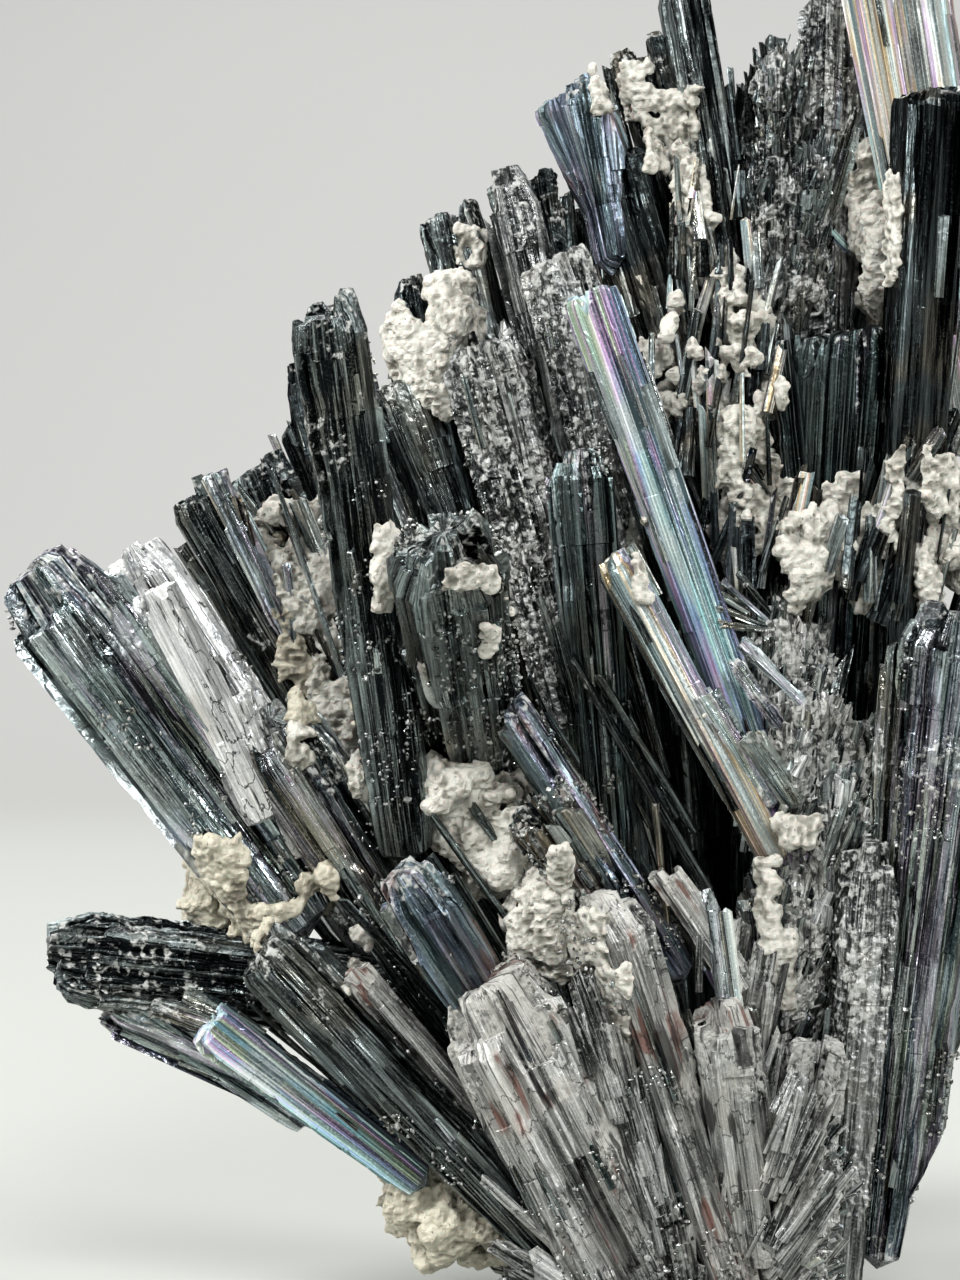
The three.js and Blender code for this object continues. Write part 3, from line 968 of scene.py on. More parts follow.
# Each crystal node's finish, growth and tone.
CRYSTALS = {
    "front_tall_crystal": (Finish.DARK, "rough", 0.45),
    "front_round_crystal": (Finish.DARK, "rough", 0.7),
    "blue_grey_low_crystal": (Finish.BLUE_GREY, "rough", 0.55),
    "frosted_low_crystal": (Finish.FROSTED, "rough", 0.6),
    "long_low_crystal": (Finish.DARK, "striated", 0.5),
    "middle_blue_crystal": (Finish.BLUE_GREY, "striated", 0.5),
    "middle_bronze_crystal": (Finish.BRONZE, "striated", 0.5),
    "trunk_crystal": (Finish.FROSTED, "rough", 0.5),
    "trunk_side_crystal": (Finish.FROSTED, "rough", 0.5),
    "right_big_crystal": (Finish.LIT_SILVER, "rough", 0.4),
    "right_lower_dark_crystal": (Finish.GRANULAR, "granular", 0.4),
    "left_big_crystal": (Finish.LIT_SILVER, "rough", 0.55),
    "left_low_dark_crystal": (Finish.DARK, "granular", 0.4),
    "left_low_iridescent_crystal": (Finish.IRIDESCENT, "smooth", 0.5),
    "left_low_pale_crystal": (Finish.LIT_SILVER, "striated", 0.5),
    "left_second_crystal": (Finish.MIRROR, "rough", 0.6),
    "left_inner_crystal": (Finish.STEEL, "rough", 0.5),
    "left_back_blade": (Finish.DARK, "striated", 0.5),
    "left_ragged_crystal": (Finish.DARK, "rough", 0.4),
    "left_spiky_crystal": (Finish.BLACK, "rough", 0.4),
    "centre_iridescent_crystal": (Finish.IRIDESCENT, "smooth", 0.6),
    "centre_slender_crystal": (Finish.GOLDEN, "smooth", 0.6),
    "centre_teal_crystal": (Finish.TEAL, "striated", 0.55),
    "flat_top_crystal": (Finish.GRANULAR, "granular", 0.55),
    "granular_left_crystal": (Finish.GRANULAR, "granular", 0.4),
    "tall_round_crystal": (Finish.GRANULAR, "rough", 0.3),
    "upper_left_round_crystal": (Finish.BLACK, "rough", 0.4),
    "upper_left_dark_crystal": (Finish.DARK, "rough", 0.4),
    "back_dark_crystal": (Finish.BLACK, "striated", 0.6),
    "top_blue_crystal": (Finish.BLUE_GREY, "striated", 0.6),
    "top_shoulder_crystal": (Finish.BLACK, "rough", 0.5),
    "top_dark_crystal": (Finish.DARK, "striated", 0.4),
    "right_black_crystal": (Finish.BLACK, "smooth", 0.5),
    "right_teal_crystal": (Finish.TEAL, "striated", 0.45),
    "top_bright_crystal": (Finish.GOLDEN, "smooth", 0.8),
    "top_granular_crystal": (Finish.GRANULAR, "granular", 0.5),
    "right_edge_low_crystal": (Finish.DARK, "striated", 0.5),
    "right_edge_middle_crystal": (Finish.STEEL, "striated", 0.5),
    "back_left_bundle": (Finish.DARK, "bundle", 0.5),
    "back_upper_left_bundle": (Finish.BLACK, "bundle", 0.5),
    "back_left_high_bundle": (Finish.DARK, "bundle", 0.5),
    "back_middle_bundle": (Finish.STEEL, "bundle", 0.4),
    "back_top_bundle": (Finish.DARK, "bundle", 0.5),
    "back_right_bundle": (Finish.BLACK, "bundle", 0.6),
    "back_far_right_bundle": (Finish.STEEL, "bundle", 0.4),
    "rear_left_bundle": (Finish.DARK, "bundle", 0.5),
    "rear_right_bundle": (Finish.STEEL, "bundle", 0.45),
}


@dataclass(frozen=True)
class Extra:
    """A small crystal with no solid of its own, placed from the middle of a CAD node's box."""

    node: str
    name: str
    finish: Finish
    habit: str
    tone: float
    tip: tuple[float, float, float]
    foot: tuple[float, float, float]
    width: float
    depth: float

    def form(self, forms: dict[str, ConvexForm]) -> ConvexForm:
        """Makes the prism and moves it back until its foot is sunk in what is behind it.

        Args:
            forms: the crystals that it may be sunk in.

        Returns:
            The prism before it has ridges.
        """
        middle = middle_of(self.node)
        tip, foot = middle + self.tip, middle + self.foot
        behind = first_surface(forms, foot[None])[0]
        if np.isfinite(behind) and behind + 0.2 * self.depth > foot[1]:
            back = np.array([0.0, behind + 0.2 * self.depth - foot[1], 0.0])
            tip, foot = tip + back, foot + back
        way = unit(tip - foot)
        side = unit(np.cross(way, [0.0, 1.0, 0.0]))
        frame_axes = np.stack([side * self.width / 2, np.cross(side, way) * self.depth / 2, tip - foot], axis=1)
        place = Matrix(frame_axes.tolist()).to_4x4()
        place.translation = Vector(foot + (tip - foot) / 2)
        bm = bmesh.new()
        bmesh.ops.create_cone(
            bm, cap_ends=True, segments=7, radius1=0.9, radius2=1.0, depth=1.0, matrix=Matrix.Scale(MM, 4) @ place
        )
        return ConvexForm(bm, way)


# Each node, and the small crystals placed from it: name, finish, habit, tone, tip, foot, width and depth.
EXTRA_ROWS = (
    ("long_low_crystal", (
        ("low_stained_crystal", Finish.FROSTED, "striated", 0.5, (-6.6, -2.6, 14.3), (8.7, 1.4, -3.8), 3.4, 3),
    )),
    ("trunk_crystal", (
        ("trunk_slab_a", Finish.FROSTED, "rough", 0.6, (-1.2, -3.3, 13.7), (3.9, 2.7, -15.1), 5.6, 5.0),
        ("trunk_slab_b", Finish.GRITTY, "rough", 0.6, (6.2, -3.3, 8.6), (9.8, 2.7, -15.6), 6.2, 5.0),
        ("trunk_slab_c", Finish.FROSTED, "rough", 0.7, (-9.8, -3.3, 5.1), (-1.9, 2.7, -15.1), 5.2, 4.6),
        ("base_slab_a", Finish.GRITTY, "granular", 0.6, (1.7, -3.3, -0.6), (5.9, 2.7, -17.0), 6.4, 5.0),
        ("base_slab_b", Finish.GRITTY, "granular", 0.6, (9.9, -3.3, -1.5), (7.8, 2.7, -18.0), 6.6, 5.0),
        ("base_slab_c", Finish.FROSTED, "granular", 0.6, (-6.0, -3.3, -2.5), (-0.9, 2.7, -18.9), 6.0, 5.0),
        ("base_slab_d", Finish.GRITTY, "granular", 0.5, (15.1, -1.3, 6.1), (12.7, 4.7, -17.0), 6.0, 5.0),
        ("small_block", Finish.FROSTED, "rough", 0.8, (13.4, -3.3, 9.3), (12.8, 0.7, 3.2), 3.0, 2.6),
    )),
    ("long_low_crystal", (
        ("low_thin_crystal", Finish.STEEL, "striated", 0.6, (-9.5, -1.6, 11.0), (8.0, 1.4, -5.3), 3.6, 3),
        ("low_ridge_crystal", Finish.DARK, "striated", 0.6, (-11.8, 2.4, 15.4), (4.6, 5.4, -1.4), 4.4, 4),
    )),
    ("granular_left_crystal", (
        ("speckled_crystal", Finish.DARK, "rough", 0.6, (-14.4, -4.9, 17.7), (-6.1, -4.9, -3.8), 4.8, 4.4),
    )),
    ("right_teal_crystal", (
        ("brown_crystal", Finish.BRONZE, "striated", 0.35, (-12.8, -6.7, 16.7), (-4.8, -3.7, 5.4), 4.8, 4.2),
        ("narrow_teal_crystal", Finish.TEAL, "striated", 0.6, (-6.1, -4.7, 26.6), (-3.7, -3.7, 4.0), 3.6, 3.4),
    )),
    ("centre_teal_crystal", (
        ("cavity_crystal", Finish.BLACK, "smooth", 0.8, (2.0, -6.7, -2.6), (10.3, -2.7, -11.8), 2.3, 2.2),
    )),
    ("left_spiky_crystal", (
        ("small_back_crystal", Finish.DARK, "rough", 0.5, (3.1, 2.2, 26.2), (6.8, 1.2, 5.1), 2.8, 2.6),
    )),
    ("left_back_blade", (
        ("gap_blade_a", Finish.LIT_SILVER, "striated", 0.6, (-7.5, -4.4, 18.7), (0.6, -1.4, 1.0), 3.0, 1.6),
        ("gap_blade_d", Finish.LIT_SILVER, "smooth", 0.8, (-0.4, -6.4, 9.8), (1.3, -5.4, -5.5), 0.9, 0.9),
        ("gap_blade_e", Finish.BRONZE, "striated", 0.5, (-6.0, -6.4, 16.6), (-2.6, -4.4, 5.9), 2.4, 1.2),
    )),
    ("left_second_crystal", (
        ("silver_face_crystal", Finish.MIRROR, "smooth", 0.8, (-9.4, -8.4, 14.1), (1.5, -5.4, -7.8), 6.0, 4.0),
    )),
    ("left_inner_crystal", (
        ("silver_low_crystal", Finish.MIRROR, "rough", 0.8, (-13.1, -4.5, 17.7), (-6.6, -1.5, 2.1), 4.4, 4.0),
    )),
    ("upper_left_round_crystal", (
        ("shaded_lump_a", Finish.DARK, "rough", 0.5, (3.7, -0.2, 31.0), (6.3, -0.2, 17.8), 4.2, 4.0),
        ("shaded_lump_b", Finish.BLACK, "rough", 0.6, (7.8, 0.8, 31.3), (10.5, -0.2, 14.7), 4.4, 4.0),
    )),
    ("upper_left_dark_crystal", (
        ("shaded_lump_c", Finish.DARK, "rough", 0.5, (-6.8, 0.7, 23.1), (-3.7, -1.3, 11.1), 4.0, 3.6),
    )),
    ("right_teal_crystal", (
        ("green_prism", Finish.IRIDESCENT, "smooth", 0.8, (-4.1, -5.7, 36.6), (-1.8, -4.7, 27.8), 1.3, 1.2),
    )),
    ("top_granular_crystal", (
        ("upper_blade_a", Finish.LIT_SILVER, "striated", 0.7, (-12.9, -12.7, 7.5), (-7.2, -11.7, -3.4), 1.6, 1.4),
        ("upper_blade_b", Finish.GOLDEN, "striated", 0.6, (-11.0, -13.7, 8.1), (-6.7, -12.7, -4.2), 1.3, 1.2),
        ("upper_blade_c", Finish.STEEL, "striated", 0.6, (-5.7, -15.7, -1.5), (-3.9, -14.7, -11.8), 1.8, 1.6),
        ("upper_blade_d", Finish.LIT_SILVER, "striated", 0.7, (-1.2, -12.4, 12.4), (-4.5, -12.4, -3.0), 2.2, 2.0),
        ("upper_blade_e", Finish.STEEL, "rough", 0.7, (2.0, -13.4, 12.0), (-1.0, -12.4, 1.0), 2.4, 2.0),
        ("upper_blade_f", Finish.DARK, "striated", 0.7, (-7.4, -11.7, 4.9), (-5.4, -11.7, -11.5), 3.0, 2.6),
        ("upper_blade_g", Finish.IRIDESCENT, "smooth", 0.7, (-1.9, -16.7, 0.4), (0.8, -15.7, -2.2), 1.0, 1.0),
    )),
    ("middle_blue_crystal", (
        ("cavity_needle_a", Finish.STEEL, "smooth", 0.7, (5.1, 0.5, 3.9), (10.4, 1.5, -13.0), 0.9, 0.8),
        ("cavity_needle_b", Finish.BRONZE, "smooth", 0.6, (6.6, 0.5, 2.5), (7.9, 1.5, -10.1), 0.8, 0.8),
        ("cavity_needle_c", Finish.LIT_SILVER, "smooth", 0.7, (7.9, 1.5, 3.4), (13.1, 2.5, -15.5), 1.2, 1.0),
        ("cavity_needle_d", Finish.STEEL, "smooth", 0.6, (10.0, 2.5, 2.4), (15.1, 2.5, -13.1), 1.5, 1.2),
    )),
    ("trunk_crystal", (
        ("frosted_shelf_crystal", Finish.FROSTED, "striated", 0.7, (-0.0, -1.3, 22.9), (7.8, 0.7, 11.1), 3.4, 2.8),
        ("shelf_prism_a", Finish.LIT_SILVER, "smooth", 0.8, (4.4, -0.3, 20.9), (6.0, 0.7, 9.7), 1.7, 1.4),
        ("shelf_prism_b", Finish.GOLDEN, "smooth", 0.7, (6.0, -0.3, 18.9), (7.4, 0.7, 8.7), 1.4, 1.2),
        ("shelf_prism_c", Finish.STEEL, "smooth", 0.7, (8.3, -0.3, 19.4), (9.9, 0.7, 6.8), 1.5, 1.4),
        ("shelf_prism_d", Finish.IRIDESCENT, "smooth", 0.7, (5.8, -0.3, 11.7), (10.6, 0.7, 2.0), 1.8, 1.6),
    )),
    ("front_round_crystal", (
        ("front_stub_a", Finish.STEEL, "rough", 0.6, (-2.5, -16.8, 6.0), (-0.5, -10.8, -4.1), 4.6, 3.6),
        ("front_stub_b", Finish.DARK, "rough", 0.6, (2.1, -15.8, 5.1), (3.2, -10.8, -3.1), 3.8, 3.4),
        ("front_stub_c", Finish.DARK, "rough", 0.5, (-5.3, -10.8, 1.5), (-1.7, -2.8, -10.8), 6.0, 5.0),
        ("front_stub_d", Finish.DARK, "granular", 0.5, (-0.2, -10.8, -0.4), (3.9, -2.8, -12.7), 6.5, 5.0),
    )),
    ("right_big_crystal", (
        ("right_rim_crystal", Finish.STEEL, "striated", 0.6, (-2.3, -1.7, 27.0), (-4.1, -0.7, 1.8), 4.6, 4.0),
    )),
    ("left_low_pale_crystal", (
        ("lower_left_sliver", Finish.LIT_SILVER, "striated", 0.6, (-12.2, -4.9, 7.5), (5.0, -0.9, -4.6), 3.2, 2.6),
    )),
    ("left_low_dark_crystal", (
        ("lower_left_sheet", Finish.STEEL, "rough", 0.5, (-8.1, -4.6, -2.2), (1.6, -4.6, -5.6), 4.0, 3.0),
    )),
    ("granular_mass", (
        ("beak_fan_a", Finish.STEEL, "smooth", 0.7, (-11.8, -8.3, 22.7), (-6.6, -6.3, 19.6), 1.1, 1.0),
        ("beak_fan_b", Finish.DARK, "smooth", 0.7, (-11.6, -8.3, 21.2), (-6.4, -6.3, 19.2), 1.1, 1.0),
        ("beak_fan_c", Finish.STEEL, "smooth", 0.6, (-11.4, -8.3, 19.6), (-6.2, -6.3, 18.9), 1.0, 1.0),
        ("beak_fan_d", Finish.LIT_SILVER, "smooth", 0.7, (-10.8, -8.3, 23.9), (-6.2, -6.3, 20.0), 1.0, 0.9),
        ("beak_fan_e", Finish.DARK, "smooth", 0.6, (-9.3, -8.3, 24.5), (-5.8, -6.3, 20.4), 0.9, 0.9),
        ("granular_blade_a", Finish.LIT_SILVER, "striated", 0.8, (-9.3, -9.3, 17.9), (-3.2, -7.3, 12.1), 1.6, 1.2),
        ("granular_blade_b", Finish.LIT_SILVER, "striated", 0.7, (-10.1, -9.3, 16.4), (-5.3, -7.3, 10.1), 1.8, 1.3),
    )),
    ("centre_iridescent_crystal", (
        ("foot_blade_a", Finish.LIT_SILVER, "striated", 0.9, (1.1, -3.2, -12.4), (7.8, -1.2, -23.1), 3.2, 2.6),
        ("foot_blade_b", Finish.STEEL, "striated", 0.9, (5.4, -3.2, -16.3), (10.1, -1.2, -23.1), 3.0, 2.4),
    )),
)
EXTRAS = tuple(Extra(node, *row) for node, rows in EXTRA_ROWS for row in rows)

# Scraps of calcite: each node, and from its middle the place and the size of each scrap.
WHITE_CHIPS = (
    ("top_shoulder_crystal", (
        ((-7.9, -3.5, 13.4), (6.1, 2.0, 5.9)), ((-2.8, -3.5, 9.1), (5.0, 2.0, 8.6)),
    )),
    ("trunk_crystal", (
        ((-10.6, 0.0, 18.9), (3.6, 2.0, 10.6)), ((-7.4, 0.0, 15.8), (4.0, 2.0, 5.0)),
        ((-4.6, 0.0, 8.1), (2.6, 2.0, 11.1)), ((10.4, 0.0, 18.4), (2.0, 2.0, 9.6)),
        ((11.8, 0.0, 12.2), (2.2, 2.0, 8.0)), ((8.6, 0.0, 11.9), (4.5, 2.0, 2.4)),
        ((13.0, 0.0, 26.0), (4.2, 2.0, 3.0)),
    )),
    ("right_teal_crystal", (
        ((8.9, 0.0, 4.7), (3.4, 2.0, 13.4)), ((1.0, 0.0, 9.5), (2.4, 2.0, 5.6)),
    )),
    ("front_round_crystal", (
        ((1.2, -19.8, 7.2), (4.6, 1.2, 2.0)), ((4.9, -17.8, 3.1), (1.2, 1.4, 4.6)),
        ((3.3, -16.8, 1.5), (2.0, 1.2, 2.6)),
    )),
    ("right_teal_crystal", (
        ((-0.1, -9.7, 9.7), (3.6, 1.6, 3.0)), ((3.0, -6.0, 36.5), (4.4, 2.0, 11.0)),
        ((-0.3, -8.7, 28.7), (2.2, 1.6, 2.2)),
    )),
    ("long_low_crystal", (((-6.2, -3.6, 14.8), (2.4, 1.6, 6.0)),)),
    ("centre_iridescent_crystal", (((1.1, -3.2, -13.4), (1.0, 1.0, 3.4)),)),
    ("left_inner_crystal", (((-6.5, -4.5, 12.4), (2.0, 1.4, 4.0)),)),
    ("upper_left_round_crystal", (((0.2, -4.2, 23.4), (3, 2, 4)),)),
    ("middle_bronze_crystal", (
        ((-2.9, -5.4, -2.5), (1.8, 1.6, 10.0)), ((-2.9, -5.4, -8.2), (5.0, 1.6, 3.0)),
    )),
    ("front_tall_crystal", (((2.1, 1.3, -0.6), (1.6, 1.6, 8.0)),)),
    ("centre_slender_crystal", (((-4.7, 0.0, 12.8), (1.2, 1.2, 8.0)),)),
)

CREAM_CHIPS = (
    ("left_back_blade", (
        ((0.4, -8.0, 9.5), (4.6, 2.0, 11.0)), ((1.4, -8.0, 2.0), (5.0, 2.0, 8.0)),
        ((3.8, -8.0, -4.3), (6.0, 2.0, 3.6)),
    )),
    ("left_low_dark_crystal", (
        ((-1.2, -3.0, 9.6), (4.6, 2.0, 8.0)), ((3.0, -4.0, 5.0), (7.0, 2.0, 3.6)),
        ((8.0, -4.0, 8.0), (3.6, 2.0, 4.0)),
    )),
)


@dataclass
class CrystalFan:
    """Every crystal of the spray that has a solid of its own."""

    workshop: Workshop

    def build(self) -> dict[str, ConvexForm]:
        """Wraps and dresses each crystal in turn.

        Returns:
            The form of each crystal that has a node.
        """
        forms = {}
        for seed, (node, (finish, habit, tone)) in enumerate(CRYSTALS.items()):
            forms[node] = ConvexForm(merged_copy(node))
            growth = replace(GROWTHS[habit], tone=tone)
            mesh = Crystal(forms[node], growth, seed + SEEDS["crystal"]).mesh(node + "_look")
            self.workshop.dress(node + "_look", mesh, finish, node)
        seats = forms | {"granular_mass": ConvexForm(merged_copy("granular_mass"))}
        for seed, extra in enumerate(EXTRAS):
            growth = replace(GROWTHS[extra.habit], tone=extra.tone, rootward=1.0)
            growth.ridge = min(growth.ridge, extra.width / 2.2)
            growth.relief *= min(1.0, extra.width / 5)
            growth.lath = min(growth.lath, extra.width / 3)
            mesh = Crystal(extra.form(seats), growth, seed + SEEDS["extra"]).mesh(extra.name)
            self.workshop.dress(extra.name, mesh, extra.finish)
        return forms


# ---- Laths: small prisms by the hundred ---------------------------------------------------------


@dataclass
class Laths:
    """Rows of small prisms, gathered from several places and made into one mesh."""

    seed: int
    feet: list[np.ndarray] = field(default_factory=list)
    ways: list[np.ndarray] = field(default_factory=list)
    sizes: list[np.ndarray] = field(default_factory=list)  # length, width, depth
    tones: list[np.ndarray] = field(default_factory=list)
    SIDES = 6

    def __post_init__(self) -> None:
        """Starts the pattern."""
        self.random = np.random.default_rng(self.seed)

    def add(self, feet: np.ndarray, ways: np.ndarray, sizes: np.ndarray, tone: float = 0.5) -> None:
        """Adds laths.

        Args:
            feet: where each one starts, in millimetres.
            ways: which way each one points.
            sizes: length, width and depth of each.
            tone: 0 dark to 1 bright.
        """
        self.feet.append(np.atleast_2d(feet))
        self.ways.append(unit(np.atleast_2d(ways)))
        self.sizes.append(np.atleast_2d(sizes))
        self.tones.append(np.full(len(self.feet[-1]), tone))

    def on_crystal(
        self, form: ConvexForm, count: int, length: tuple[float, float], width: float, tone: float
    ) -> None:
        """Adds laths that lie along a crystal's sides, half sunk in it.

        Args:
            form: the crystal's form.
            count: how many.
            length: shortest and longest.
            width: their mean width.
            tone: 0 dark to 1 bright.
        """
        r = self.random
        up, down = form.reach(np.stack([form.middle] * 2), np.stack([form.axis, -form.axis]))[0]
        across = unit(np.cross(form.axis, [0.3, 0.2, 1.0]))
        through = np.cross(form.axis, across)
        angle = r.uniform(0, 2 * np.pi, count)
        out = np.cos(angle)[:, None] * across + np.sin(angle)[:, None] * through
        height = r.uniform(-0.85 * down, 0.6 * up, count)
        base = form.middle + height[:, None] * form.axis
        distance, _ = form.reach(base, out)
        widths = ((0, 0.4), (-0.2, 0.3))
        sizes = np.stack([r.uniform(*length, count), *(width * r.lognormal(*w, count) for w in widths)], 1)
        sizes[:, 0] = np.minimum(sizes[:, 0], up - 0.5 - height)
        feet = base + out * (distance - 0.3 * sizes[:, 2])[:, None]
        ways = form.axis + out * r.normal(0.0, 0.02, count)[:, None] + r.normal(0, 0.02, (count, 3))
        self.add(feet, ways, sizes, tone)

    def mesh(self, name: str) -> bpy.types.Mesh:
        """Builds every lath, each with a slanting, broken tip.

        Args:
            name: the mesh's name.

        Returns:
            The mesh, in metres and in place.
        """
        feet, ways, sizes, tones = (np.concatenate(part) for part in (self.feet, self.ways, self.sizes, self.tones))
        bm = bmesh.new()
        bmesh.ops.create_cone(bm, cap_ends=True, segments=self.SIDES, radius1=1.0, radius2=1.0, depth=2.0)
        mesh = copies(bm, len(feet), name)
        per = 2 * self.SIDES
        owner = np.arange(len(mesh.vertices)) // per
        local = vertex_rows(mesh)
        r = self.random
        turn = r.uniform(0, 2 * np.pi, len(feet))
        side = unit(np.cross(ways, r.normal(0, 0.25, (len(feet), 3)) + [0.1, 1.0, 0.2]))
        front = np.cross(ways, side)
        slant = r.normal(0, 0.5, len(feet))
        top = local[:, 2] > 0
        x = local[:, 0] * 0.5 * sizes[owner, 1] * r.uniform(0.75, 1.1, len(owner))
        y = local[:, 1] * 0.5 * sizes[owner, 2] * r.uniform(0.75, 1.1, len(owner))
        z = (local[:, 2] * 0.5 + 0.5) * sizes[owner, 0]
        z = z + np.where(top, slant[owner] * x + r.uniform(-0.2, 0.2, len(owner)) * sizes[owner, 1], 0)
        shrink = np.where(top, r.uniform(0.6, 1.0, len(feet))[owner], 1.0)
        spread = side[owner] * (x * shrink)[:, None] + front[owner] * (y * shrink)[:, None]
        place_vertices(mesh, feet[owner] + spread + ways[owner] * z[:, None])
        relief = r.uniform(-0.6, 1.0, len(feet))[owner]
        tone = (tones + r.normal(0, 0.12, len(feet)))[owner]
        set_point_values(mesh, relief=relief, grain=np.where(top, 0.6, 0.15), tone=tone)
        around = x * 1.3 + y + turn[owner] * 9
        lay_map(mesh, np.stack([around, z], 1)[corner_vertices(mesh)])
        return mesh


@dataclass
class GrainCrusts:
    """Patches of small sparkling grains on the crystals, thickest near their feet."""

    workshop: Workshop
    nodes: tuple[tuple[str, float], ...] = (
        ("frosted_low_crystal", 0.5),
        ("trunk_crystal", 0.7),
        ("trunk_side_crystal", 0.8),
        ("middle_blue_crystal", 0.6),
        ("middle_bronze_crystal", 0.8),
        ("blue_grey_low_crystal", 0.4),
        ("right_lower_dark_crystal", 0.6),
        ("right_big_crystal", 0.45),
        ("front_round_crystal", 0.7),
        ("front_tall_crystal", 0.4),
        ("granular_left_crystal", 0.6),
        ("flat_top_crystal", 0.6),
        ("centre_teal_crystal", 0.2),
        ("left_big_crystal", 0.35),
        ("left_second_crystal", 0.35),
        ("left_inner_crystal", 0.4),
        ("left_low_dark_crystal", 0.5),
        ("long_low_crystal", 0.3),
        ("top_granular_crystal", 0.6),
        ("right_edge_low_crystal", 0.3),
        ("rear_left_bundle", 0.25),
        ("rear_right_bundle", 0.25),
    )

    def build(self) -> None:
        """Scatters the grains, in one piece for each of two finishes."""
        random = np.random.default_rng(SEEDS["grains"])
        for name, finish, density in (("pale_grains", Finish.GRITTY, 1.3), ("dark_grains", Finish.STEEL, 0.7)):
            clouds = []
            for seed, (node, share) in enumerate(self.nodes):
                solid = merged_copy(node)
                points, out = surface_samples(solid, int(area_of(solid) * density), random)
                way = unit(middle_of(node) - ROOT_POINT)
                height = (points - middle_of(node)) @ way
                low = (height.max() - height) / np.ptp(height)
                patch = smooth_noise(points, 4.0, SEEDS["grains"] + 1 + seed) * 0.5 + 0.5 + 0.35 * (low - 0.5)
                keep = patch > np.quantile(patch, 1 - 0.6 * share)
                clouds.append((points + out * random.uniform(-0.1, 0.2, (len(points), 1)))[keep])
            mesh = lump_cloud(np.concatenate(clouds), 0.17, random, name)
            tones = random.uniform(0.3, 0.9, len(mesh.vertices) // LUMP_CORNERS)
            set_point_values(mesh, tone=np.repeat(tones, LUMP_CORNERS), grain=0.3)
            self.workshop.dress(name, mesh, finish)


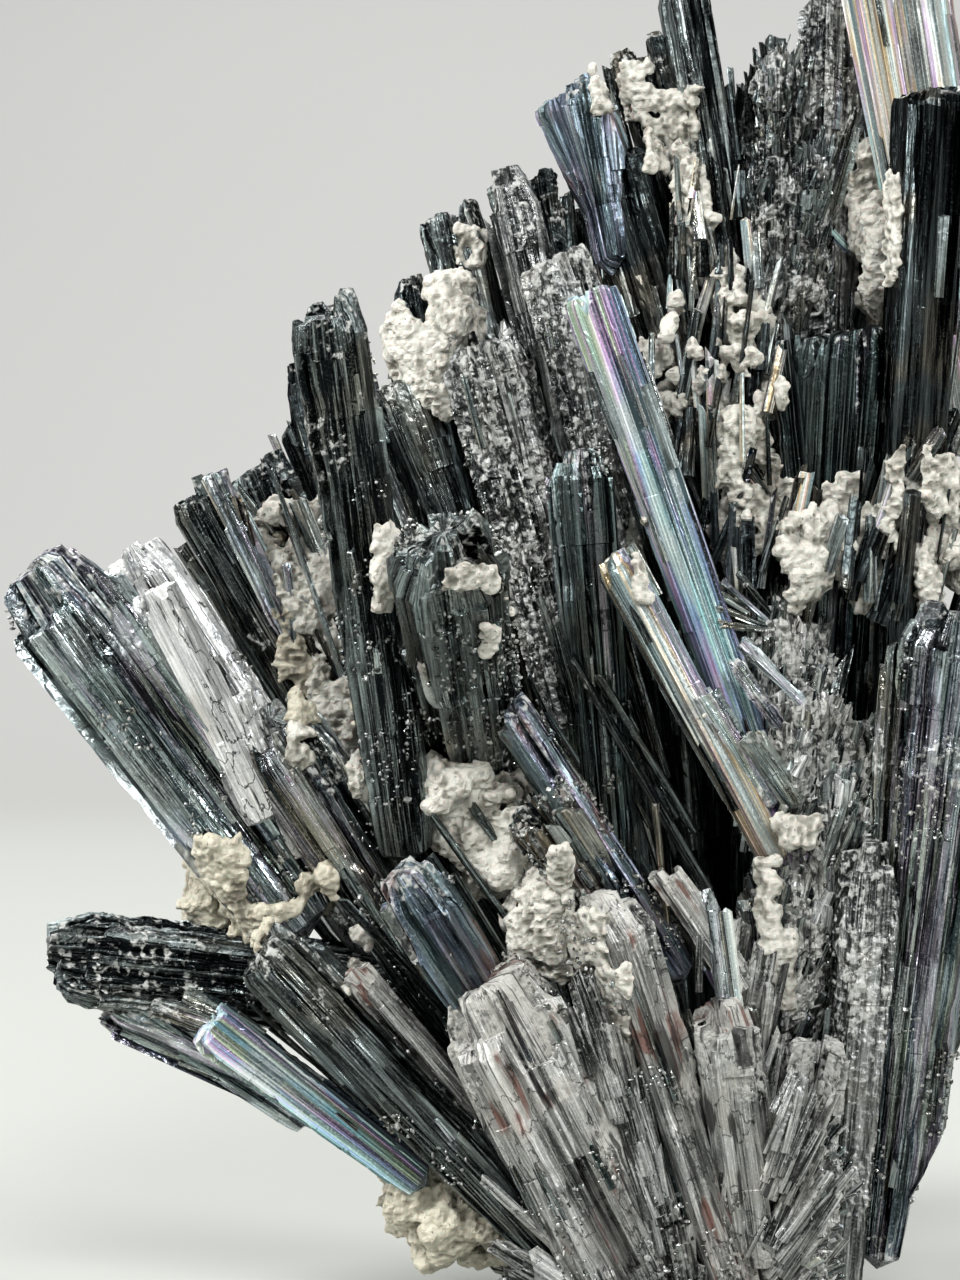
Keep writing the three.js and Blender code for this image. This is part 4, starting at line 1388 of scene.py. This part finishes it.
@dataclass
class LathGrowth:
    """The many small laths on and between the crystals."""

    workshop: Workshop
    forms: dict[str, ConvexForm]
    NEIGHBOURS = 22  # how far apart the middles of two neighbours may be
    PARALLEL = 0.86  # how nearly two neighbours point the same way, 1 being quite
    GRID = 0.75  # spacing of the places in the crevices
    UNDER = 2.4  # how deep the laths in the crevices lie behind the crystals at their sides

    def build(self) -> None:
        """Grows laths on each crystal's sides, then in the gaps between neighbours."""
        first = SEEDS["laths"]
        batches = {
            "dark_laths": (Finish.DARK, Laths(first)),
            "steel_laths": (Finish.STEEL, Laths(first + 1)),
            "teal_laths": (Finish.TEAL, Laths(first + 2)),
            "golden_laths": (Finish.GOLDEN, Laths(first + 3)),
            "gritty_laths": (Finish.GRITTY, Laths(first + 5)),
        }
        chooser = np.random.default_rng(first + 4)
        for node, form in self.forms.items():
            size = math.dist(*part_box(node)) / MM
            large = node.endswith("bundle")
            for key, share in zip(batches, (0.55, 0.35, 0.06, 0.04)):
                count = chooser.poisson(size * share * (0.6 if large else 0.3))
                if count and large:
                    batches[key][1].on_crystal(form, count * 2, (8, 34), 2.1, 0.45)
                elif count:
                    batches[key][1].on_crystal(form, count, (2, 9), 0.8, 0.5)
        self.between(batches, chooser)
        self.crevices(batches, chooser)
        for name, (finish, laths) in batches.items():
            if laths.feet:
                self.workshop.dress(name, laths.mesh(name), finish)

    def crevices(self, batches: dict[str, tuple[Finish, Laths]], chooser: np.random.Generator) -> None:
        """Fills the crevices low on the display side, where the crystals have grown into one another.

        Args:
            batches: each piece's finish and its laths.
            chooser: the source of chance.
        """
        across, up = np.meshgrid(np.arange(-17, 11, self.GRID), np.arange(1.5, 36, self.GRID))
        start = np.full(across.shape, -30.0)
        points = np.stack([across, start, up], axis=-1).reshape(-1, 3)
        behind = first_surface(self.forms, points, 3.0).reshape(across.shape)
        behind = np.where(np.isfinite(behind), behind, 40.0)
        shallow = behind.copy()
        for shift in ((0, 3), (0, -3), (3, 0), (-3, 0), (0, 5), (0, -5)):
            shallow = np.minimum(shallow, np.roll(behind, shift, axis=(0, 1)))
        floor = shallow + self.UNDER
        patch = smooth_noise(np.stack([across, floor, up], axis=-1).reshape(-1, 3), 5.0, 61).reshape(across.shape)
        open_here = (behind > floor + 0.5) & (shallow < 20) & (patch + 0.4 * (up < 12) > 0.12)
        rows, columns = np.nonzero(open_here)
        rows, columns = rows[::2], columns[::2]
        spots = np.stack([across[rows, columns], floor[rows, columns], up[rows, columns]], axis=1)
        spots += chooser.uniform(-0.5, 0.5, spots.shape)
        ways = unit((spots - ROOT_POINT + [0, 0, 9]) * [1, 0.2, 1]) + chooser.normal(0, 0.05, spots.shape)
        width = 1.5 * chooser.lognormal(0, 0.45, len(spots))
        length = np.minimum(chooser.uniform(4, 13, len(spots)), spots[:, 2] + 2)
        places = spots - unit(ways) * (0.5 * length)[:, None]
        batches["gritty_laths"][1].add(places, ways, np.stack([length, width, 0.7 * width], 1), 0.5)

    def between(self, batches: dict[str, tuple[Finish, Laths]], chooser: np.random.Generator) -> None:
        """Fills gaps: a lath between two neighbours takes a place and a direction between theirs.

        Args:
            batches: each piece's finish and its laths.
            chooser: the source of chance.
        """
        names = list(self.forms)
        keys = list(batches)
        for i, first in enumerate(names):
            for second in names[i + 1 :]:
                a, b = self.forms[first], self.forms[second]
                if np.linalg.norm(a.middle - b.middle) > self.NEIGHBOURS or a.axis @ b.axis < self.PARALLEL:
                    continue
                for _ in range(3):
                    share = chooser.uniform(0.25, 0.75)
                    way = unit(a.axis * (1 - share) + b.axis * share + chooser.normal(0, 0.04, 3))
                    middle = a.middle * (1 - share) + b.middle * share + chooser.normal(0, 1.2, 3) + [0, 5, 0]
                    length = chooser.uniform(12, 34)
                    width = chooser.uniform(0.6, 1.7)
                    foot = middle - way * length * 0.55
                    if foot[2] < 1.5:
                        continue
                    key = keys[chooser.choice(4, p=(0.55, 0.33, 0.08, 0.04))]
                    batches[key][1].add(foot, way, np.array([length, width, width * 0.8]), 0.45)


# ---- Calcite and granular masses -----------------------------------------------------------------


def area_of(bm: bmesh.types.BMesh) -> float:
    """The area of a solid's surface, in square millimetres."""
    return sum(f.calc_area() for f in bm.faces) / MM**2


def surface_samples(bm: bmesh.types.BMesh, count: int, random: np.random.Generator) -> tuple[np.ndarray, np.ndarray]:
    """Points spread evenly over a solid, in millimetres, and the way out at each.

    Args:
        bm: the solid, in metres, which is freed here.
        count: how many points.
        random: the source of chance.

    Returns:
        The points and the outward normals.
    """
    bmesh.ops.triangulate(bm, faces=bm.faces)
    corners = np.array([[v.co[:] for v in f.verts] for f in bm.faces]) / MM
    bm.free()
    normal = np.cross(corners[:, 1] - corners[:, 0], corners[:, 2] - corners[:, 0])
    area = np.linalg.norm(normal, axis=1)
    face = random.choice(len(corners), count, p=area / area.sum())
    u, v = random.random(count), random.random(count)
    u, v = np.where(u + v > 1, 1 - u, u), np.where(u + v > 1, 1 - v, v)
    edges = corners[face]
    points = edges[:, 0] + u[:, None] * (edges[:, 1] - edges[:, 0]) + v[:, None] * (edges[:, 2] - edges[:, 0])
    return points, unit(normal[face])


def lump_cloud(points: np.ndarray, radius: float, random: np.random.Generator, name: str) -> bpy.types.Mesh:
    """A small uneven lump at each point.

    Args:
        points: the lumps' middles, in millimetres.
        radius: their mean radius.
        random: the source of chance.
        name: the mesh's name.

    Returns:
        A mesh of overlapping solids, in metres.
    """
    bm = bmesh.new()
    bmesh.ops.create_icosphere(bm, subdivisions=1, radius=1.0)
    mesh = copies(bm, len(points), name)
    local = vertex_rows(mesh)
    owner = np.arange(len(mesh.vertices)) // LUMP_CORNERS
    size = radius * random.lognormal(0, 0.3, (len(points), 1)) * random.uniform(0.45, 1.5, (len(points), 3))
    place_vertices(mesh, points[owner] + local * size[owner] * random.uniform(0.8, 1.15, (len(owner), 1)))
    return mesh


@dataclass(frozen=True)
class CalciteHabit:
    """How one patch of calcite grew."""

    finish: Finish
    sink: float = 1.0  # how far its lumps' middles are under the solid's surface
    cover: float = 0.72  # share of the surface that carries lumps
    lump: float = 0.62  # the lumps' mean radius
    band: float = 0.0  # width of the strip it keeps to, from its upper left to its lower right; 0 is all over


@dataclass
class GrownMasses:
    """The calcite and the granular crusts between the crystals."""

    workshop: Workshop
    forms: dict[str, ConvexForm]
    granular: tuple[str, ...] = ("root_mass", "granular_mass", "top_granular_mass")
    calcite: dict[str, CalciteHabit] = field(
        default_factory=lambda: {
            "calcite_underside": CalciteHabit(Finish.YELLOW_CALCITE, 0.8, 0.9),
            "calcite_left_gap": CalciteHabit(Finish.YELLOW_CALCITE, 0.7, 0.9),
            "calcite_left_drape": CalciteHabit(Finish.CALCITE, 0.7, 0.9),
            "calcite_upper_left": CalciteHabit(Finish.CALCITE, 1.2, 0.7),
            "calcite_top_drape": CalciteHabit(Finish.CALCITE, 1.5, 0.9, lump=0.5, band=2.7),
            "calcite_middle_strip": CalciteHabit(Finish.CALCITE, 2.1, 0.4, lump=0.5),
            "calcite_right_notch": CalciteHabit(Finish.CALCITE),
            "calcite_right_face": CalciteHabit(Finish.CALCITE, 2.2, 0.46, lump=0.5),
            "calcite_cavity": CalciteHabit(Finish.CALCITE, 0.9, 0.8),
            "calcite_boot": CalciteHabit(Finish.CALCITE, 0.7, 0.9),
        }
    )

    pierced: tuple[str, ...] = (
        "calcite_top_drape", "calcite_middle_strip", "calcite_right_face", "calcite_left_drape",
    )
    LUMPS_PER_MM2 = 6  # how thickly a calcite patch is strewn with lumps
    DRUSE_PER_MM2 = 0.85  # how thickly a granular mass is covered with small laths
    STANDING = 0.5  # what is nearer to the floor than this keeps its height, so that the cut stays flat

    def build(self) -> None:
        """Builds each mass."""
        for seed, node in enumerate(self.granular):
            solid = merged_copy(node)
            rough = bpy.data.meshes.new(node + "_rough")
            solid.to_mesh(rough)
            solid.free()
            mesh = self.fused(node, rough, 0.45, 0.4, seed + SEEDS["granular"])
            skin = Finish.GRANULAR if node == "top_granular_mass" else Finish.GRITTY
            self.workshop.dress(node + "_look", mesh, skin, node)
            self.druse(node, seed + SEEDS["druse"])
        for seed, (node, habit) in enumerate(self.calcite.items()):
            rough = self.lumps(node, habit, seed + SEEDS["lumps"])
            mesh = self.fused(node, rough, 0.26, 0.24, seed + SEEDS["calcite"], melt=5)
            self.workshop.dress(node + "_look", mesh, habit.finish, node)
            if node in self.pierced:
                self.splinters(node, seed + SEEDS["splinters"])
        self.chips("white_chips", Finish.CALCITE, WHITE_CHIPS, SEEDS["white chips"])
        self.chips("cream_chips", Finish.YELLOW_CALCITE, CREAM_CHIPS, SEEDS["cream chips"])

    def splinters(self, node: str, seed: int) -> None:
        """Thin crystals that stand out through one patch of calcite on its display side.

        Args:
            node: the CAD node.
            seed: makes its pattern its own.
        """
        random = np.random.default_rng(seed)
        solid = merged_copy(node)
        points, out = surface_samples(solid, 900, random)
        near = points[out[:, 1] < -0.3]
        kinds = (("dark", Finish.BLACK, 22), ("grey", Finish.STEEL, 14), ("film", Finish.GOLDEN, 6))
        for name, finish, count in kinds:
            middle = near[random.choice(len(near), min(count, len(near)), replace=False)] + [0, 0.5, 0]
            ways = unit((middle - ROOT_POINT) * [1, 0.2, 1]) + random.normal(0, 0.13, middle.shape)
            width = 1.1 * random.lognormal(0, 0.45, len(middle))
            length = random.uniform(3, 11, len(middle))
            laths = Laths(seed + 5)
            sizes = np.stack([length, width, 0.8 * width], 1)
            laths.add(middle - unit(ways) * (0.5 * length)[:, None], ways, sizes, 0.5)
            piece = f"{node}_{name}_splinters"
            self.workshop.dress(piece, laths.mesh(piece), finish)

    def chips(self, name: str, finish: Finish, places: tuple, seed: int) -> None:
        """Small scraps of calcite that lie on whatever crystal is behind them, all in one piece.

        Args:
            name: the piece's name.
            finish: its finish.
            places: for each CAD node, the way from its middle and the size of each scrap, in millimetres.
            seed: makes its pattern its own.
        """
        random = np.random.default_rng(seed)
        clouds = []
        for node, offset, size in ((node, *scrap) for node, scraps in places for scrap in scraps):
            count = int(14 * size[0] * size[2]) + 8
            spread = random.uniform(-0.5, 0.5, (count, 3)) * size
            ragged = smooth_noise(spread + offset, 1.6, seed + 1) > -0.35
            points = middle_of(node) + offset + spread[ragged]
            behind = first_surface(self.forms | self.grounds(), points, 5.0)
            close = behind < points[:, 1] + 9
            points[:, 1] = behind + random.uniform(-0.35, 0.15, len(points))
            clouds.append(points[close])
        rough = lump_cloud(np.concatenate(clouds), 0.44, random, name + "_rough")
        mesh = self.fused(name, rough, 0.24, 0.16, seed + 2, melt=3)
        self.workshop.dress(name, mesh, finish)

    def grounds(self) -> dict[str, ConvexForm]:
        """The forms of the two granular masses that calcite can lie on."""
        return {node: ConvexForm(merged_copy(node)) for node in ("root_mass", "granular_mass")}

    def lumps(self, node: str, habit: CalciteHabit, seed: int) -> bpy.types.Mesh:
        """Overlapping lumps just under a solid's surface, with gaps where nothing grew.

        Args:
            node: the CAD node.
            habit: how it grew.
            seed: makes its pattern its own.

        Returns:
            A mesh in metres.
        """
        random = np.random.default_rng(seed)
        solid = merged_copy(node)
        points, out = surface_samples(solid, int(area_of(solid) * self.LUMPS_PER_MM2), random)
        points = points - out * habit.sink
        patch = smooth_noise(points, 4.5, seed)
        patch = patch + 0.35 * smooth_noise(points, 1.3, seed + 1)
        points = points[patch > np.quantile(patch, 1 - habit.cover)]
        if habit.band:
            low, high = points.min(axis=0), points.max(axis=0)
            share = (high[2] - points[:, 2]) / (high[2] - low[2])
            centre = low[0] + share * (high[0] - low[0]) + 0.8 * smooth_noise(points, 4.0, seed + 2)
            points = points[np.abs(points[:, 0] - centre) < habit.band * (0.5 + 0.3 * share)]
        return lump_cloud(points, habit.lump, random, node + "_lumps")

    def fused(
        self, node: str, rough: bpy.types.Mesh, voxel: float, lump: float, seed: int, melt: int = 0
    ) -> bpy.types.Mesh:
        """Fuses overlapping solids into one skin and roughens it.

        Args:
            node: the name to give it.
            rough: the solids to fuse, in metres, which are removed here.
            voxel: the skin's spacing.
            lump: how far its bumps stand out.
            seed: makes its pattern its own.
            melt: how many times the skin is smoothed, which runs neighbouring lumps together.

        Returns:
            The mesh, in metres and in place.
        """
        holder = bpy.data.objects.new(node + "_rough", rough)
        bpy.context.collection.objects.link(holder)
        remesh = holder.modifiers.new("voxels", "REMESH")
        remesh.mode = "VOXEL"
        remesh.voxel_size = voxel * MM
        if melt:
            smooth = holder.modifiers.new("melt", "SMOOTH")
            smooth.factor = 0.6
            smooth.iterations = melt
        graph = bpy.context.evaluated_depsgraph_get()
        mesh = bpy.data.meshes.new_from_object(holder.evaluated_get(graph))
        bpy.data.objects.remove(holder)
        bpy.data.meshes.remove(rough)
        mesh.name = node + "_look"
        points = vertex_rows(mesh) / MM
        normals = vertex_rows(mesh, "vertex_normals", "vector")
        swell = smooth_noise(points, 2.6, seed)
        folds = 1 - 2.6 * np.abs(smooth_noise(points, 0.9, seed + 1))
        crumbs = smooth_noise(points, 0.4, seed + 2)
        height = lump * ((0.9 if melt else 0.6) * swell + (0.5 if melt else 0.7) * folds + 0.9 * crumbs)
        moved = points + normals * height[:, None]
        moved[:, 2] = np.where(points[:, 2] < self.STANDING, points[:, 2], moved[:, 2])
        place_vertices(mesh, moved)
        set_point_values(mesh, relief=np.clip(height / lump, -1, 1), grain=0.9, tone=0.35 + 0.3 * swell)
        lay_map(mesh, moved[corner_vertices(mesh)][:, [0, 2]])
        return mesh

    def druse(self, node: str, seed: int) -> None:
        """Short broken laths all over a granular mass, most of them pointing out from the root.

        Args:
            node: the CAD node.
            seed: makes its pattern its own.
        """
        random = np.random.default_rng(seed)
        solid = merged_copy(node)
        area = area_of(solid)
        kinds = (
            ("dark", Finish.DARK, 0.3, 0.5),
            ("grey", Finish.STEEL, 0.4, 0.6),
            ("gritty", Finish.GRITTY, 0.2, 0.6),
            ("silver", Finish.MIRROR, 0.1, 0.6),
        )
        if node == "top_granular_mass":
            kinds = (("dark", Finish.DARK, 0.6, 0.5), ("grey", Finish.STEEL, 0.4, 0.4))
        for name, finish, share, tone in kinds:
            points, out = surface_samples(solid.copy(), int(area * self.DRUSE_PER_MM2 * share), random)
            keep = points[:, 2] > 1.5
            points, out = points[keep], out[keep]
            ways = unit((points - ROOT_POINT + [0, 0, 6]) * [1, 0.3, 1]) + 0.2 * out
            ways = ways + random.normal(0, 0.12, points.shape)
            length = random.gamma(2.0, 1.1, len(points)) + 0.6
            width = 0.6 * random.lognormal(0, 0.5, len(points))
            sizes = np.stack([length, width, width * random.uniform(0.6, 1.0, len(points))], 1)
            laths = Laths(seed + 7)
            laths.add(points - unit(ways) * (sizes[:, :1] * 0.6) - out * 0.15, ways, sizes, tone)
            piece = f"{node}_{name}_druse"
            self.workshop.dress(piece, laths.mesh(piece), finish)
        solid.free()


# ---- Stage ---------------------------------------------------------------------------------------


@dataclass
class Studio:
    """The pale sweep that the spray stands on, the soft lights and the camera."""

    eye_height: float = 66.0
    eye_x: float = -21.0
    distance: float = 380.0
    view_height: float = 128.0  # what the frame takes in at the spray, top to bottom

    def build(self) -> None:
        """Sets up the floor, the lights and the camera."""
        self.sweep()
        self.lights()
        self.camera()

    def sweep(self) -> None:
        """A floor that rises gently behind the spray, and a wall a little darker behind it."""
        rise = [(1050 + 700 * f, 420 * f**3) for f in np.linspace(0, 1, 28)]
        profile = [(-4000.0, 0.0), *rise, (1800.0, 620.0), (1810.0, 2200.0)]
        self.extruded("floor", profile, self.paper("floor paper", "#a0a29d", "#a7a7a5"))

    def extruded(self, name: str, profile: list[tuple[float, float]], material: bpy.types.Material) -> bpy.types.Object:
        """A sheet that runs along X with a profile in Y and Z.

        Args:
            name: its name.
            profile: the Y and Z of its points, in millimetres.
            material: its material.

        Returns:
            The sheet.
        """
        bm = bmesh.new()
        row = [bm.verts.new((-4.0, y * MM, z * MM)) for y, z in profile]
        edges = [bm.edges.new(pair) for pair in zip(row[:-1], row[1:])]
        swept = bmesh.ops.extrude_edge_only(bm, edges=edges)["geom"]
        moved = [v for v in swept if isinstance(v, bmesh.types.BMVert)]
        bmesh.ops.translate(bm, verts=moved, vec=(8.0, 0, 0))
        bmesh.ops.recalc_face_normals(bm, faces=bm.faces)
        mesh = bpy.data.meshes.new(name)
        bm.to_mesh(mesh)
        bm.free()
        mesh.shade_smooth()
        mesh.materials.append(material)
        sheet = bpy.data.objects.new(name, mesh)
        bpy.context.collection.objects.link(sheet)
        return sheet

    def paper(self, name: str, near: str, far: str) -> bpy.types.Material:
        """Plain matt paper with painted shade: a little darker where the light falls most strongly.

        Args:
            name: its name.
            near: its colour under the spray.
            far: its colour behind.

        Returns:
            The material.
        """
        t = Tree(name)
        place = t.add("TexCoord").outputs["Object"]
        depth = t.add("SeparateXYZ", {0: place}).outputs["Y"]
        colour = t.mix(t.step(depth, 0.2, 1.6), srgb(near), srgb(far))
        return t.output({"Base Color": colour, "Roughness": 0.9})

    def lights(self) -> None:
        """Soft boxes round the spray, and a dim even room."""
        boxes = (
            ("key light", (-756, -594, 936), 470, 19.0),
            ("left strip", (-1000, -220, 300), 270, 6.5),
            ("side light", (936, -288, 560), 360, 8.5),
            ("back light", (-260, 700, 1150), 480, 9.0),
            ("front light", (200, -1100, 760), 430, 16.0),
            ("wall light", (0, 900, 1500), 600, 20.0),
        )
        for name, place, size, power in boxes:
            light = bpy.data.lights.new(name, "AREA")
            light.shape = "SQUARE"
            light.size = size * MM
            light.energy = power
            lamp = bpy.data.objects.new(name, light)
            lamp.location = Vector(place) * MM
            aim = Vector((0, 1.9 if name == "wall light" else 0, 0.06)) - lamp.location
            lamp.rotation_euler = aim.to_track_quat("-Z", "Y").to_euler()
            bpy.context.collection.objects.link(lamp)
        world = bpy.data.worlds.new("room")
        world.use_nodes = True
        world.node_tree.nodes["Background"].inputs[0].default_value = srgb("#b9bcbd")
        world.node_tree.nodes["Background"].inputs[1].default_value = 0.12
        bpy.context.scene.world = world
        bpy.context.scene.view_settings.view_transform = "Standard"

    def camera(self) -> None:
        """A level camera in front of the display side."""
        lens = bpy.data.cameras.new("camera")
        lens.sensor_width = 36.0
        lens.lens = 36.0 * self.distance / self.view_height
        lens.clip_start = 0.01
        camera = bpy.data.objects.new("camera", lens)
        camera.location = Vector((self.eye_x, -self.distance, self.eye_height)) * MM
        camera.rotation_euler = (math.radians(90), 0, 0)
        bpy.context.collection.objects.link(camera)
        bpy.context.scene.camera = camera


def main() -> None:
    """Builds the spray and its studio."""
    logging.basicConfig(level=logging.INFO, format="%(name)s: %(message)s")
    workshop = Workshop()
    Studio().build()
    forms = CrystalFan(workshop).build()
    LathGrowth(workshop, forms).build()
    GrownMasses(workshop, forms).build()
    GrainCrusts(workshop).build()


if __name__ == "__main__":
    main()
